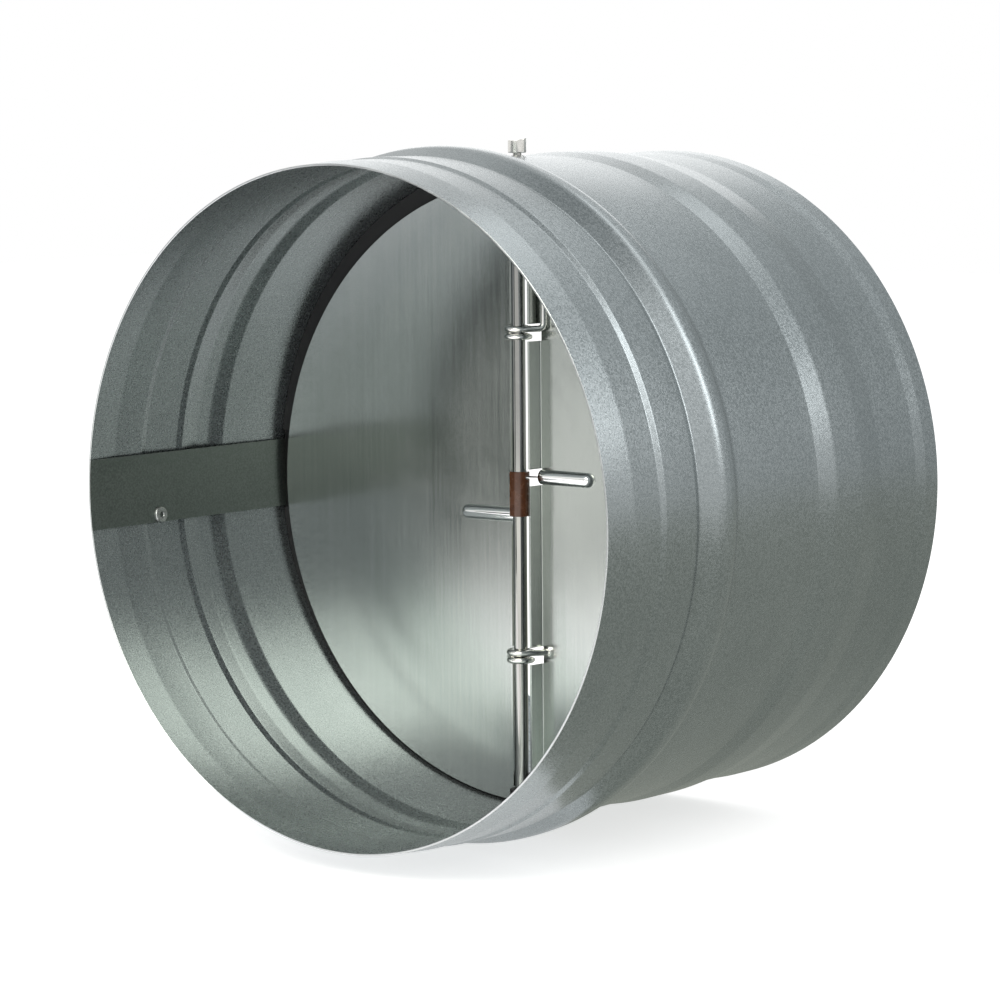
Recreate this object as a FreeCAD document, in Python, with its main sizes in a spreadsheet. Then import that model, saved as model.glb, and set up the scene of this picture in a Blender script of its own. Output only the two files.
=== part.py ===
import FreeCAD, Part
import math
import os
import Sketcher

# Butterfly backdraft damper for round ventilation duct, in millimetres.
# The duct axis is Y. Air leaves towards -Y, and the blades open that way.
# The hinge shaft stands upright, along Z. The origin is the middle of the duct section.

SIZES = [
    # Rolled duct section
    ("spigot_diameter", 199.0),
    ("casing_length", 161.0),
    ("casing_wall", 0.6),
    ("outlet_taper_length", 11.0),
    ("outlet_taper_depth", 0.8),
    ("swage_start", 22.5),
    ("swage_step", 2.0),
    ("swage_height", 0.6),
    ("swage_bend_radius", 1.6),
    ("bead_start", 40.2),
    ("bead_rise", 7.2),
    ("bead_crest", 5.8),
    ("bead_fall", 5.0),
    ("bead_height", 3.3),
    ("bead_crest_radius", 8.0),
    ("bead_foot_radius", 3.0),
    ("barrel_shoulder", 5.3),
    ("barrel_flat", 5.0),
    ("barrel_sink", 0.4),
    ("inlet_collar", 6.5),
    ("collar_slope", 5.0),
    ("rib_start", 30.5),
    ("rib_fall", 10.5),
    ("rib_top", 13.5),
    ("rib_rise", 8.0),
    ("rib_height", 1.0),
    # Seam strip inside the casing and the two rivets through it
    ("strip_angle", 12.5),
    ("strip_lean", 0.75),
    ("strip_thickness", 0.5),
    ("strip_overhang", 0.6),
    ("joint_gap", 0.3),
    ("rivet_angle", 5.7),
    ("rivet_inset", 28.5),
    ("rivet_shank_radius", 1.6),
    ("rivet_head_radius", 2.5),
    ("rivet_head_height", 1.1),
    ("rivet_bore_radius", 0.8),
    # Shaft, its cap and the two bushes
    ("hinge_offset", 3.7),
    ("shaft_radius", 2.1),
    ("shaft_projection", 5.8),
    ("shaft_end_chamfer", 0.5),
    ("neck_radius", 1.3),
    ("shoulder_rise", 0.3),
    ("cap_radius", 2.75),
    ("cap_height", 4.7),
    ("cap_slant", 1.0),
    ("running_clearance", 0.05),
    ("bush_radius", 3.65),
    ("bush_height", 6.2),
    ("bush_spigot_radius", 3.0),
    # Blades
    ("rest_angle", 3.0),
    ("blade_wall_gap", 3.3),
    ("blade_drop", 2.6),
    ("blade_sheet", 0.8),
    ("blade_setback", 5.2),
    ("flange_gap", 3.3),
    ("flange_edge", 0.2),
    ("bend_radius", 0.4),
    ("bend_overlap", 1.5),
    ("seat_gap", 0.3),
    # Black seal ring behind the blades
    ("seal_width", 8.5),
    ("seal_depth", 6.0),
    ("seal_wall_gap", 0.05),
    # Wire hinge clips
    ("clip_wire_radius", 0.95),
    ("clip_play", 0.35),
    ("clip_pitch", 2.3),
    ("upper_clip_height", 46.5),
    ("lower_clip_depth", 51.5),
    ("clip_notch_margin", 0.5),
    ("clip_foot_reach", 6.4),
    ("clip_foot_bend", 1.2),
    ("clip_collar_radius", 1.8),
    ("clip_collar_height", 0.9),
    ("clip_tail_gap", 6.3),
    # Torsion spring, its sleeve and the half-round keepers over its legs
    ("spring_wire_radius", 0.25),
    ("spring_coil_radius", 2.42),
    ("spring_turns", 6.0),
    ("spring_leg_slope", 18.0),
    ("spring_leg_reach", 22.0),
    ("spring_leg_gap", 0.3),
    ("spring_knee_radius", 0.8),
    ("sleeve_radius", 3.05),
    ("sleeve_wall", 0.27),
    ("sleeve_end_wall", 0.8),
    ("sleeve_top", 4.6),
    ("sleeve_bottom", 8.9),
    ("window_half_height", 0.45),
    ("right_leg_height", 2.8),
    ("left_leg_depth", 8.5),
    ("left_keeper_depth", 9.3),
    ("keeper_radius", 2.3),
    ("keeper_wall", 0.45),
    ("keeper_start", 4.6),
    ("keeper_end", 25.0),
    ("keeper_notch_margin", 0.2),
    ("dimple_radius", 0.5),
]

document = FreeCAD.newDocument("backdraft_damper")
sheet = document.addObject("Spreadsheet::Sheet", "sizes")
for row, (alias, value) in enumerate(SIZES, start=1):
    sheet.set("A%d" % row, alias)
    sheet.set("B%d" % row, str(value))
    sheet.setAlias("B%d" % row, alias)
document.recompute()

# Places that several pieces share, as expressions on the sheet
WALL_OUTSIDE = "(sizes.spigot_diameter / 2 - sizes.barrel_sink)"
WALL_INSIDE = "(%s - sizes.casing_wall)" % WALL_OUTSIDE
RIM_INSIDE = "(sizes.spigot_diameter / 2 - sizes.outlet_taper_depth - sizes.casing_wall)"
OUTLET = "(-sizes.casing_length / 2)"
INLET = "(sizes.casing_length / 2)"
BUSH_TOP = "(%s - sizes.bush_height)" % WALL_INSIDE
TAIL_TOP = "(%s - sizes.clip_tail_gap)" % BUSH_TOP
SHAFT_TOP = "(%s + sizes.shaft_projection)" % WALL_OUTSIDE
BLADE_RADIUS = "(%s - sizes.blade_wall_gap)" % WALL_INSIDE
PLATE_BACK = "(sizes.blade_setback + sizes.blade_sheet)"
PLATE_EDGE = "(sizes.flange_gap + sizes.blade_sheet + sizes.bend_radius)"
SHAFT_HOLE = "(sizes.shaft_radius + sizes.running_clearance)"

X_AXIS = FreeCAD.Vector(1, 0, 0)
Y_AXIS = FreeCAD.Vector(0, 1, 0)
Z_AXIS = FreeCAD.Vector(0, 0, 1)
UPRIGHT = FreeCAD.Rotation()
ALONG_Y = FreeCAD.Rotation(X_AXIS, -90)

RIGHT = 1
LEFT = -1


def value_of(expression):
    """Number that an expression on the sheet has now."""
    result = sheet.evalExpression(expression)
    return float(getattr(result, "Value", result))


def new_body(label):
    """Empty body whose Label names its file."""
    body = document.addObject("PartDesign::Body", label)
    body.Label = label
    return body


def origin_plane(body, role):
    """Origin plane of a body, by its role."""
    for feature in body.Origin.OriginFeatures:
        if feature.Role == role:
            return feature
    raise ValueError("no plane " + role)


def new_sketch(body, name, role, offset=("0", "0", "0")):
    """Sketch on an origin plane, moved by bound offsets in its own axes."""
    sketch = body.newObject("Sketcher::SketchObject", name)
    sketch.AttachmentSupport = [(origin_plane(body, role), "")]
    sketch.MapMode = "FlatFace"
    for axis, expression in zip("xyz", offset):
        if expression != "0":
            sketch.setExpression("AttachmentOffset.Base." + axis, expression)
    return sketch


def bind_point(sketch, geometry, end, x_text, y_text, bound):
    """Hold one point of a sketch at two bound distances from its origin."""
    for kind, text in (("DistanceX", x_text), ("DistanceY", y_text)):
        index = sketch.addConstraint(Sketcher.Constraint(kind, -1, 1, geometry, end, value_of(text)))
        bound.append((index, text))


def draw_outline(sketch, corners):
    """Closed outline through corners of (x, y, radius or None), all bound to the sheet."""
    count = len(corners)
    points = [FreeCAD.Vector(value_of(x), value_of(y), 0) for x, y, radius in corners]
    starts = list(points)
    ends = list(points)
    arcs = {}
    for i, (x_text, y_text, radius_text) in enumerate(corners):
        if radius_text is None:
            continue
        here = points[i]
        back = (points[i - 1] - here).normalize()
        ahead = (points[(i + 1) % count] - here).normalize()
        half = back.getAngle(ahead) / 2
        radius = value_of(radius_text)
        reach = radius / math.tan(half)
        middle = (back + ahead).normalize() * (radius / math.sin(half)) + here
        ends[i] = here + back * reach
        starts[i] = here + ahead * reach
        turn_left = back.cross(ahead).z < 0
        first, last = (ends[i], starts[i]) if turn_left else (starts[i], ends[i])
        first_angle = math.atan2(first.y - middle.y, first.x - middle.x)
        last_angle = math.atan2(last.y - middle.y, last.x - middle.x)
        if last_angle < first_angle:
            last_angle += 2 * math.pi
        circle = Part.Circle(middle, Z_AXIS, radius)
        arcs[i] = (Part.ArcOfCircle(circle, first_angle, last_angle), turn_left)
    lines = []
    for i in range(count):
        segment = Part.LineSegment(starts[i], ends[(i + 1) % count])
        lines.append(sketch.addGeometry(segment, False))
    bound = []
    for i, (x_text, y_text, radius_text) in enumerate(corners):
        before = lines[i - 1]
        after = lines[i]
        if radius_text is None:
            sketch.addConstraint(Sketcher.Constraint("Coincident", before, 2, after, 1))
            bind_point(sketch, after, 1, x_text, y_text, bound)
            continue
        arc, turn_left = arcs[i]
        arc_id = sketch.addGeometry(arc, False)
        corner = sketch.addGeometry(Part.Point(points[i]), True)
        bind_point(sketch, corner, 1, x_text, y_text, bound)
        sketch.addConstraint(Sketcher.Constraint("PointOnObject", corner, 1, before))
        sketch.addConstraint(Sketcher.Constraint("PointOnObject", corner, 1, after))
        entry, leave = (1, 2) if turn_left else (2, 1)
        sketch.addConstraint(Sketcher.Constraint("Tangent", before, 2, arc_id, entry))
        sketch.addConstraint(Sketcher.Constraint("Tangent", arc_id, leave, after, 1))
        index = sketch.addConstraint(Sketcher.Constraint("Radius", arc_id, value_of(radius_text)))
        bound.append((index, radius_text))
    for index, text in bound:
        sketch.setExpression("Constraints[%d]" % index, text)


def revolve(body, name, sketch, axis_name, angle="360", midplane=False):
    """Revolution of a sketch about one of its own axes."""
    turned = body.newObject("PartDesign::Revolution", name)
    turned.Profile = sketch
    turned.ReferenceAxis = (sketch, [axis_name])
    turned.Midplane = midplane
    turned.setExpression("Angle", angle + " * 1 deg")
    return turned


def pad(body, name, sketch, length, reversed_way=False):
    """Straight pad of a sketch."""
    made = body.newObject("PartDesign::Pad", name)
    made.Profile = sketch
    made.Reversed = reversed_way
    made.setExpression("Length", length)
    return made


def primitive(body, kind, name, sizes, place=("0", "0", "0"), rotation=UPRIGHT):
    """PartDesign primitive with bound sizes and a bound place."""
    made = body.newObject("PartDesign::" + kind, name)
    made.Placement = FreeCAD.Placement(FreeCAD.Vector(), rotation)
    bind_all(made, sizes, place)
    return made


def part_primitive(kind, name, sizes, place=("0", "0", "0"), rotation=UPRIGHT):
    """Part primitive with bound sizes and a bound place."""
    made = document.addObject("Part::" + kind, name)
    made.Placement = FreeCAD.Placement(FreeCAD.Vector(), rotation)
    bind_all(made, sizes, place)
    return made


def bind_all(made, sizes, place):
    """Bind the sizes and the place of a primitive to the sheet."""
    for size_name, text in sizes.items():
        made.setExpression(size_name, text)
    for axis, text in zip("xyz", place):
        made.setExpression("Placement.Base." + axis, text)


def turn_to_hinge(thing, side):
    """Stand a piece that is drawn about the shaft on it, turned to the closed blade."""
    thing.Placement = FreeCAD.Placement(FreeCAD.Vector(), FreeCAD.Rotation(Z_AXIS * -side, 5))
    thing.setExpression("Placement.Base.y", "sizes.hinge_offset")
    thing.setExpression("Placement.Rotation.Angle", "sizes.rest_angle * 1 deg")


def casing_stations():
    """Outer outline of the rolled sheet: place along Y, rise over the spigot, bend radius, bend way."""
    bead = OUTLET + " + sizes.bead_start"
    bead_top = bead + " + sizes.bead_rise"
    bead_back = bead_top + " + sizes.bead_crest"
    bead_end = bead_back + " + sizes.bead_fall"
    barrel = bead_end + " + sizes.barrel_shoulder"
    rib = INLET + " - sizes.rib_start"
    rib_edge = rib + " - sizes.rib_fall"
    rib_front = rib_edge + " - sizes.rib_top"
    rib_foot = rib_front + " - sizes.rib_rise"
    low = "-sizes.barrel_sink"
    high = "sizes.rib_height - sizes.barrel_sink"
    bend = "sizes.swage_bend_radius"
    foot = "sizes.bead_foot_radius"
    crest = "sizes.bead_crest_radius"
    return [
        (OUTLET, "-sizes.outlet_taper_depth", None, 1),
        (OUTLET + " + sizes.outlet_taper_length", "0", None, 1),
        (OUTLET + " + sizes.swage_start", "0", bend, -1),
        (OUTLET + " + sizes.swage_start + sizes.swage_step", "sizes.swage_height", bend, 1),
        (bead + " - sizes.swage_step", "sizes.swage_height", bend, 1),
        (bead, "0", bend, -1),
        (bead_top, "sizes.bead_height", crest, 1),
        (bead_back, "sizes.bead_height", crest, 1),
        (bead_end, "0", foot, -1),
        (barrel, "0", None, 1),
        (rib_foot + " - sizes.barrel_flat", low, None, 1),
        (rib_foot, low, None, 1),
        (rib_front, high, None, 1),
        (rib_edge, high, None, 1),
        (rib, low, None, 1),
        (INLET + " - sizes.inlet_collar - sizes.collar_slope", low, None, 1),
        (INLET + " - sizes.inlet_collar", "0", None, 1),
        (INLET, "0", None, 1),
    ]


def make_casing():
    """Rolled sheet duct section with its swages, a butt joint, two shaft holes and rivet holes."""
    body = new_body("casing")
    outer = []
    inner = []
    for along, rise, radius, way in casing_stations():
        reach = "sizes.spigot_diameter / 2 + " + rise
        outer.append((reach, along, radius))
        inner_radius = None
        if radius is not None:
            inner_radius = radius + (" - " if way > 0 else " + ") + "sizes.casing_wall"
        inner.append((reach + " - sizes.casing_wall", along, inner_radius))
    sketch = new_sketch(body, "casing_section", "XY_Plane")
    draw_outline(sketch, outer + inner[::-1])
    revolve(body, "casing_wall", sketch, "V_Axis")
    primitive(
        body, "SubtractiveCylinder", "bush_holes",
        {"Radius": "sizes.bush_spigot_radius + sizes.running_clearance", "Height": "sizes.spigot_diameter * 1.2"},
        ("0", "sizes.hinge_offset", "-sizes.spigot_diameter * 0.6"))
    primitive(
        body, "SubtractiveBox", "butt_joint",
        {"Length": "sizes.spigot_diameter", "Width": "sizes.casing_length * 2", "Height": "sizes.joint_gap"},
        ("-sizes.spigot_diameter", "-sizes.casing_length", "-sizes.joint_gap / 2"))
    cut_rivet_holes(body)
    return body


def rivet_rotation(turned=0):
    """Turn from upright to the outward direction of the rivets, in a piece that is itself turned."""
    return FreeCAD.Rotation(Y_AXIS, -90 - value_of("sizes.rivet_angle") - turned)


def rivet_places():
    """Name and place along Y of each rivet."""
    return [("outlet", OUTLET + " + sizes.rivet_inset"), ("inlet", INLET + " - sizes.rivet_inset")]


def cut_rivet_holes(body, turned=0):
    """Clearance holes for the seam rivets."""
    for end, along in rivet_places():
        primitive(
            body, "SubtractiveCylinder", end + "_rivet_hole",
            {"Radius": "sizes.rivet_shank_radius + sizes.running_clearance", "Height": "sizes.spigot_diameter"},
            ("0", along, "0"), rivet_rotation(turned))


def make_seam_strip():
    """Flat strip that covers the butt joint from inside, from rim to rim."""
    body = new_body("seam_strip")
    outside = RIM_INSIDE + " - sizes.running_clearance"
    inside = outside + " - sizes.strip_thickness"
    front = OUTLET + " - sizes.strip_overhang"
    back = INLET + " + sizes.strip_overhang"
    sketch = new_sketch(body, "strip_section", "XY_Plane")
    draw_outline(sketch, [(inside, front, None), (outside, front, None), (outside, back, None), (inside, back, None)])
    strip = revolve(body, "strip_wall", sketch, "V_Axis", "sizes.strip_angle", True)
    strip.Midplane = True
    cut_rivet_holes(body, value_of("180 - sizes.strip_lean"))
    body.Placement = FreeCAD.Placement(FreeCAD.Vector(), FreeCAD.Rotation(Y_AXIS, 100))
    body.setExpression("Placement.Rotation.Angle", "(180 - sizes.strip_lean) * 1 deg")
    return body


def make_seam_rivet(end, along):
    """Blind rivet with a flat head inside the duct and a domed head outside."""
    body = new_body(end + "_seam_rivet")
    strip_face = RIM_INSIDE + " - sizes.running_clearance - sizes.strip_thickness"
    wall_face = "sizes.spigot_diameter / 2 + sizes.swage_height" if end == "outlet" else (
        "sizes.spigot_diameter / 2 - sizes.barrel_sink")
    head = "sizes.rivet_head_radius"
    shank = "sizes.rivet_shank_radius"
    bore = "sizes.rivet_bore_radius"
    lift = "sizes.running_clearance"
    low = strip_face + " - " + lift + " - sizes.rivet_head_height"
    inner_seat = strip_face + " - " + lift
    outer_seat = wall_face + " + " + lift
    top = wall_face + " + " + lift + " + sizes.rivet_head_height"
    round_off = "sizes.rivet_head_height / 2"
    sketch = new_sketch(body, end + "_rivet_section", "XZ_Plane")
    draw_outline(sketch, [
        (bore, low, None),
        (head, low, round_off),
        (head, inner_seat, None),
        (shank, inner_seat, None),
        (shank, outer_seat, None),
        (head, outer_seat, None),
        (head, top, round_off),
        (bore, top, None),
    ])
    revolve(body, end + "_rivet_turning", sketch, "V_Axis")
    body.Placement = FreeCAD.Placement(FreeCAD.Vector(), rivet_rotation())
    body.setExpression("Placement.Base.y", along)
    return body


def make_shaft():
    """Round shaft with a chamfered lower end and a thin neck under its cap."""
    body = new_body("shaft")
    shoulder = WALL_OUTSIDE + " + sizes.shoulder_rise"
    neck_top = SHAFT_TOP + " - sizes.cap_slant - sizes.cap_height / 4"
    edge = "sizes.shaft_end_chamfer"
    sketch = new_sketch(body, "shaft_section", "XZ_Plane")
    draw_outline(sketch, [
        ("0", "-" + SHAFT_TOP, None),
        ("sizes.shaft_radius - " + edge, "-" + SHAFT_TOP, None),
        ("sizes.shaft_radius", "-%s + %s" % (SHAFT_TOP, edge), None),
        ("sizes.shaft_radius", shoulder, None),
        ("sizes.neck_radius", shoulder, None),
        ("sizes.neck_radius", neck_top, None),
        ("0", neck_top, None),
    ])
    revolve(body, "shaft_turning", sketch, "V_Axis")
    body.setExpression("Placement.Base.y", "sizes.hinge_offset")
    return body


def make_shaft_cap():
    """Round cap on the neck of the shaft, its top cut on the slant."""
    body = new_body("shaft_cap")
    bottom = SHAFT_TOP + " - sizes.cap_height"
    primitive(
        body, "AdditiveCylinder", "cap_blank",
        {"Radius": "sizes.cap_radius", "Height": "sizes.cap_height"},
        ("0", "sizes.hinge_offset", bottom))
    primitive(
        body, "SubtractiveCylinder", "cap_bore",
        {"Radius": "sizes.neck_radius + sizes.running_clearance / 2", "Height": "sizes.cap_height * 0.75 - sizes.cap_slant"},
        ("0", "sizes.hinge_offset", bottom))
    slant = new_sketch(body, "cap_slant_section", "YZ_Plane")
    near = "sizes.hinge_offset - sizes.cap_radius"
    far = "sizes.hinge_offset + sizes.cap_radius"
    draw_outline(slant, [
        (near, SHAFT_TOP + " - sizes.cap_slant", None),
        (far, SHAFT_TOP, None),
        (far, SHAFT_TOP + " + sizes.cap_slant", None),
        (near, SHAFT_TOP + " + sizes.cap_slant", None),
    ])
    cut = body.newObject("PartDesign::Pocket", "cap_slant_cut")
    cut.Profile = slant
    cut.Midplane = True
    cut.setExpression("Length", "sizes.cap_radius * 4")
    return body


def make_bush(label, way):
    """Flanged bush in the casing wall: way is 1 for the upper one and -1 for the lower one."""
    body = new_body(label)
    sign = "" if way > 0 else "-"
    inner = sign + BUSH_TOP
    seat = sign + "(%s - sizes.running_clearance * 3)" % WALL_INSIDE
    outer = sign + WALL_OUTSIDE
    sketch = new_sketch(body, label + "_section", "XZ_Plane")
    draw_outline(sketch, [
        (SHAFT_HOLE, inner, None),
        ("sizes.bush_radius", inner, None),
        ("sizes.bush_radius", seat, None),
        ("sizes.bush_spigot_radius", seat, None),
        ("sizes.bush_spigot_radius", outer, None),
        (SHAFT_HOLE, outer, None),
    ])
    revolve(body, label + "_moulding", sketch, "V_Axis")
    body.setExpression("Placement.Base.y", "sizes.hinge_offset")
    return body


def make_seal_ring():
    """Black ring on the wall behind the blades, folded to a shallow roof like the closed blades."""
    reach = "sizes.spigot_diameter"
    lap = "sizes.seal_depth / 4"
    rim = part_primitive(
        "Cylinder", "seal_blank",
        {"Radius": WALL_INSIDE + " - sizes.seal_wall_gap", "Height": "sizes.casing_length"},
        ("0", OUTLET, "0"), ALONG_Y)
    hollow = part_primitive(
        "Cylinder", "seal_hollow",
        {"Radius": WALL_INSIDE + " - sizes.seal_width", "Height": "sizes.casing_length * 2"},
        ("0", "-sizes.casing_length", "0"), ALONG_Y)
    tube = document.addObject("Part::Cut", "seal_tube")
    tube.Base = rim
    tube.Tool = hollow
    slabs = []
    for name, side in (("right", RIGHT), ("left", LEFT)):
        slab = part_primitive(
            "Box", "seal_slab_" + name,
            {"Length": reach + " + " + lap, "Width": "sizes.seal_depth", "Height": reach + " * 2"},
            ("-" + lap if side > 0 else "-" + reach, PLATE_BACK + " + sizes.seat_gap", "-" + reach))
        holder = document.addObject("Part::Compound", "seal_half_" + name)
        holder.Links = [slab]
        turn_to_hinge(holder, side)
        slabs.append(holder)
    roof = document.addObject("Part::MultiFuse", "seal_roof")
    roof.Shapes = slabs
    ring = document.addObject("Part::MultiCommon", "seal_bent")
    ring.Shapes = [tube, roof]
    strip_face = RIM_INSIDE + " - sizes.running_clearance - sizes.strip_thickness"
    half_width = "sizes.spigot_diameter / 2 * sin((sizes.strip_angle / 2 + sizes.strip_lean) * 1 deg)"
    notch = part_primitive(
        "Box", "seal_notch",
        {"Length": reach, "Width": "sizes.casing_length * 2", "Height": "(%s) * 2" % half_width},
        ("-(%s) * cos((sizes.strip_angle / 2 + sizes.strip_lean) * 1 deg) - %s + sizes.running_clearance"
         % (strip_face, reach), "-sizes.casing_length", "-" + half_width))
    final = document.addObject("Part::Cut", "seal_ring")
    final.Base = ring
    final.Tool = notch
    final.Label = "seal_ring"
    return final


def make_blade(label, side):
    """Half-round blade with a bent flange along the shaft, notched for the clips and the spring leg."""
    body = new_body(label)
    sign = "" if side > 0 else "-"
    plate = new_sketch(body, label + "_outline", "XZ_Plane", ("0", "0", "-sizes.blade_setback"))
    draw_half_disc(plate, side)
    pad(body, label + "_plate", plate, "sizes.blade_sheet", True)
    flange = new_sketch(body, label + "_fold", "XY_Plane", ("0", "0", "-%s + sizes.seat_gap" % BUSH_TOP))
    inner = sign + "sizes.flange_gap"
    outer = sign + "(sizes.flange_gap + sizes.blade_sheet)"
    foot = sign + "(%s + sizes.bend_overlap)" % PLATE_EDGE
    draw_outline(flange, [
        (inner, "sizes.flange_edge", None),
        (inner, PLATE_BACK, "sizes.blade_sheet + sizes.bend_radius"),
        (foot, PLATE_BACK, None),
        (foot, "sizes.blade_setback", None),
        (outer, "sizes.blade_setback", "sizes.bend_radius"),
        (outer, "sizes.flange_edge", None),
    ])
    pad(body, label + "_flange", flange, "(%s - sizes.blade_drop - sizes.seat_gap) * 2" % BUSH_TOP)
    clip_half = "(sizes.clip_pitch / 2 + sizes.clip_wire_radius + sizes.clip_notch_margin)"
    keeper_half = "(sizes.keeper_radius + sizes.keeper_notch_margin)"
    keeper_z = "sizes.right_leg_height" if side > 0 else "-sizes.left_keeper_depth"
    for name, middle, half in (
            ("upper_clip_notch", "sizes.upper_clip_height", clip_half),
            ("lower_clip_notch", "-sizes.lower_clip_depth", clip_half),
            ("keeper_notch", keeper_z, keeper_half)):
        start = "0" if side > 0 else "-(sizes.flange_gap + sizes.blade_sheet + sizes.bend_radius / 2)"
        primitive(
            body, "SubtractiveBox", label + "_" + name,
            {"Length": "sizes.flange_gap + sizes.blade_sheet + sizes.bend_radius / 2",
             "Width": "sizes.blade_setback * 2 - sizes.bend_radius", "Height": half + " * 2"},
            (start, "-sizes.blade_setback", "%s - %s" % (middle, half)))
    for name, strand in clip_strands(side):
        if name == "upper" and side == RIGHT:
            continue
        primitive(
            body, "SubtractiveCylinder", "%s_%s_foot_hole" % (label, name),
            {"Radius": "sizes.clip_wire_radius + sizes.running_clearance", "Height": "sizes.blade_setback * 2"},
            (sign + "sizes.clip_foot_reach", "sizes.blade_setback / 2", strand), ALONG_Y)
    turn_to_hinge(body, side)
    return body


def draw_half_disc(sketch, side):
    """Half disc beyond the flange's bend, its centre dropped below the duct axis."""
    edge = value_of(PLATE_EDGE)
    radius = value_of(BLADE_RADIUS)
    drop = value_of("sizes.blade_drop")
    half_chord = math.sqrt(radius ** 2 - edge ** 2)
    middle = FreeCAD.Vector(0, -drop, 0)
    top = FreeCAD.Vector(side * edge, half_chord - drop, 0)
    bottom = FreeCAD.Vector(side * edge, -half_chord - drop, 0)
    lean = math.atan2(half_chord, edge)
    first, last = (-lean, lean) if side > 0 else (math.pi - lean, math.pi + lean)
    arc = sketch.addGeometry(Part.ArcOfCircle(Part.Circle(middle, Z_AXIS, radius), first, last), False)
    chord = sketch.addGeometry(Part.LineSegment(top, bottom), False)
    top_end, bottom_end = (2, 1) if side > 0 else (1, 2)
    sketch.addConstraint(Sketcher.Constraint("Coincident", arc, top_end, chord, 1))
    sketch.addConstraint(Sketcher.Constraint("Coincident", arc, bottom_end, chord, 2))
    sketch.addConstraint(Sketcher.Constraint("Vertical", chord))
    sketch.addConstraint(Sketcher.Constraint("PointOnObject", arc, 3, -2))
    sign = "" if side > 0 else "-"
    for kind, place, text in (
            ("DistanceY", (arc, 3), "-sizes.blade_drop"),
            ("DistanceX", (chord, 1), sign + PLATE_EDGE)):
        index = sketch.addConstraint(Sketcher.Constraint(kind, -1, 1, place[0], place[1], value_of(text)))
        sketch.setExpression("Constraints[%d]" % index, text)
    index = sketch.addConstraint(Sketcher.Constraint("Radius", arc, radius))
    sketch.setExpression("Constraints[%d]" % index, BLADE_RADIUS)


def clip_strands(side):
    """Name and height of each wire clip of one blade: the right blade's wire lies on the left one's."""
    lift = ("+" if side > 0 else "-") + " sizes.clip_pitch / 2"
    return [("upper", "sizes.upper_clip_height " + lift), ("lower", "-sizes.lower_clip_depth " + lift)]


def make_keeper(label, side):
    """Half-round pocket on the blade's face, with a rounded shut end, that covers a spring leg."""
    body = new_body(label)
    sign = "" if side > 0 else "-"
    height = "sizes.right_leg_height" if side > 0 else "-sizes.left_keeper_depth"
    start = sign + "sizes.keeper_start"
    end = sign + "sizes.keeper_end"
    inner_end = sign + "(sizes.keeper_end - sizes.keeper_wall)"
    crown = "-sizes.keeper_radius"
    inner_crown = "-(sizes.keeper_radius - sizes.keeper_wall)"
    sketch = new_sketch(body, label + "_section", "XY_Plane", ("0", "sizes.blade_setback", height))
    draw_outline(sketch, [
        (start, inner_crown, None),
        (start, crown, None),
        (end, crown, "sizes.keeper_radius * 0.98"),
        (end, "0", None),
        (inner_end, "0", None),
        (inner_end, inner_crown, "(sizes.keeper_radius - sizes.keeper_wall) * 0.98"),
    ])
    revolve(body, label + "_shell", sketch, "H_Axis", "180", True)
    primitive(
        body, "SubtractiveSphere", label + "_dimple", {"Radius": "sizes.dimple_radius"},
        (sign + "(sizes.keeper_end - sizes.keeper_radius * 0.4)",
         "sizes.blade_setback - sizes.keeper_radius * 0.85", height + " - sizes.keeper_radius * 0.2"))
    turn_to_hinge(body, side)
    return body


def sweep_round(path_edges, radius):
    """Round wire of one radius along a path of tangent edges."""
    path = Part.Wire(path_edges)
    first = path_edges[0]
    start = first.valueAt(first.FirstParameter)
    heading = first.tangentAt(first.FirstParameter)
    section = Part.Wire(Part.makeCircle(radius, start, heading))
    return path.makePipeShell([section], True, False)


def arc_edge(middle, radius, first_angle, last_angle, height):
    """Level arc about a point, from one angle to another, in degrees."""
    def at(angle):
        turn = math.radians(angle)
        return FreeCAD.Vector(middle[0] + radius * math.cos(turn), middle[1] + radius * math.sin(turn), height)
    return Part.Arc(at(first_angle), at((first_angle + last_angle) / 2), at(last_angle)).toShape()


def bend_edge(corner, way_in, way_out, radius):
    """Arc that rounds a corner of a wire between two directions, with its two ends."""
    half = math.pi / 2 - way_in.getAngle(way_out) / 2
    reach = radius / math.tan(half)
    start = corner - way_in * reach
    end = corner + way_out * reach
    inward = (way_out - way_in).normalize()
    middle = corner + inward * (radius / math.sin(half))
    halfway = middle - inward * radius
    return Part.Arc(start, halfway, end).toShape(), start, end


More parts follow.
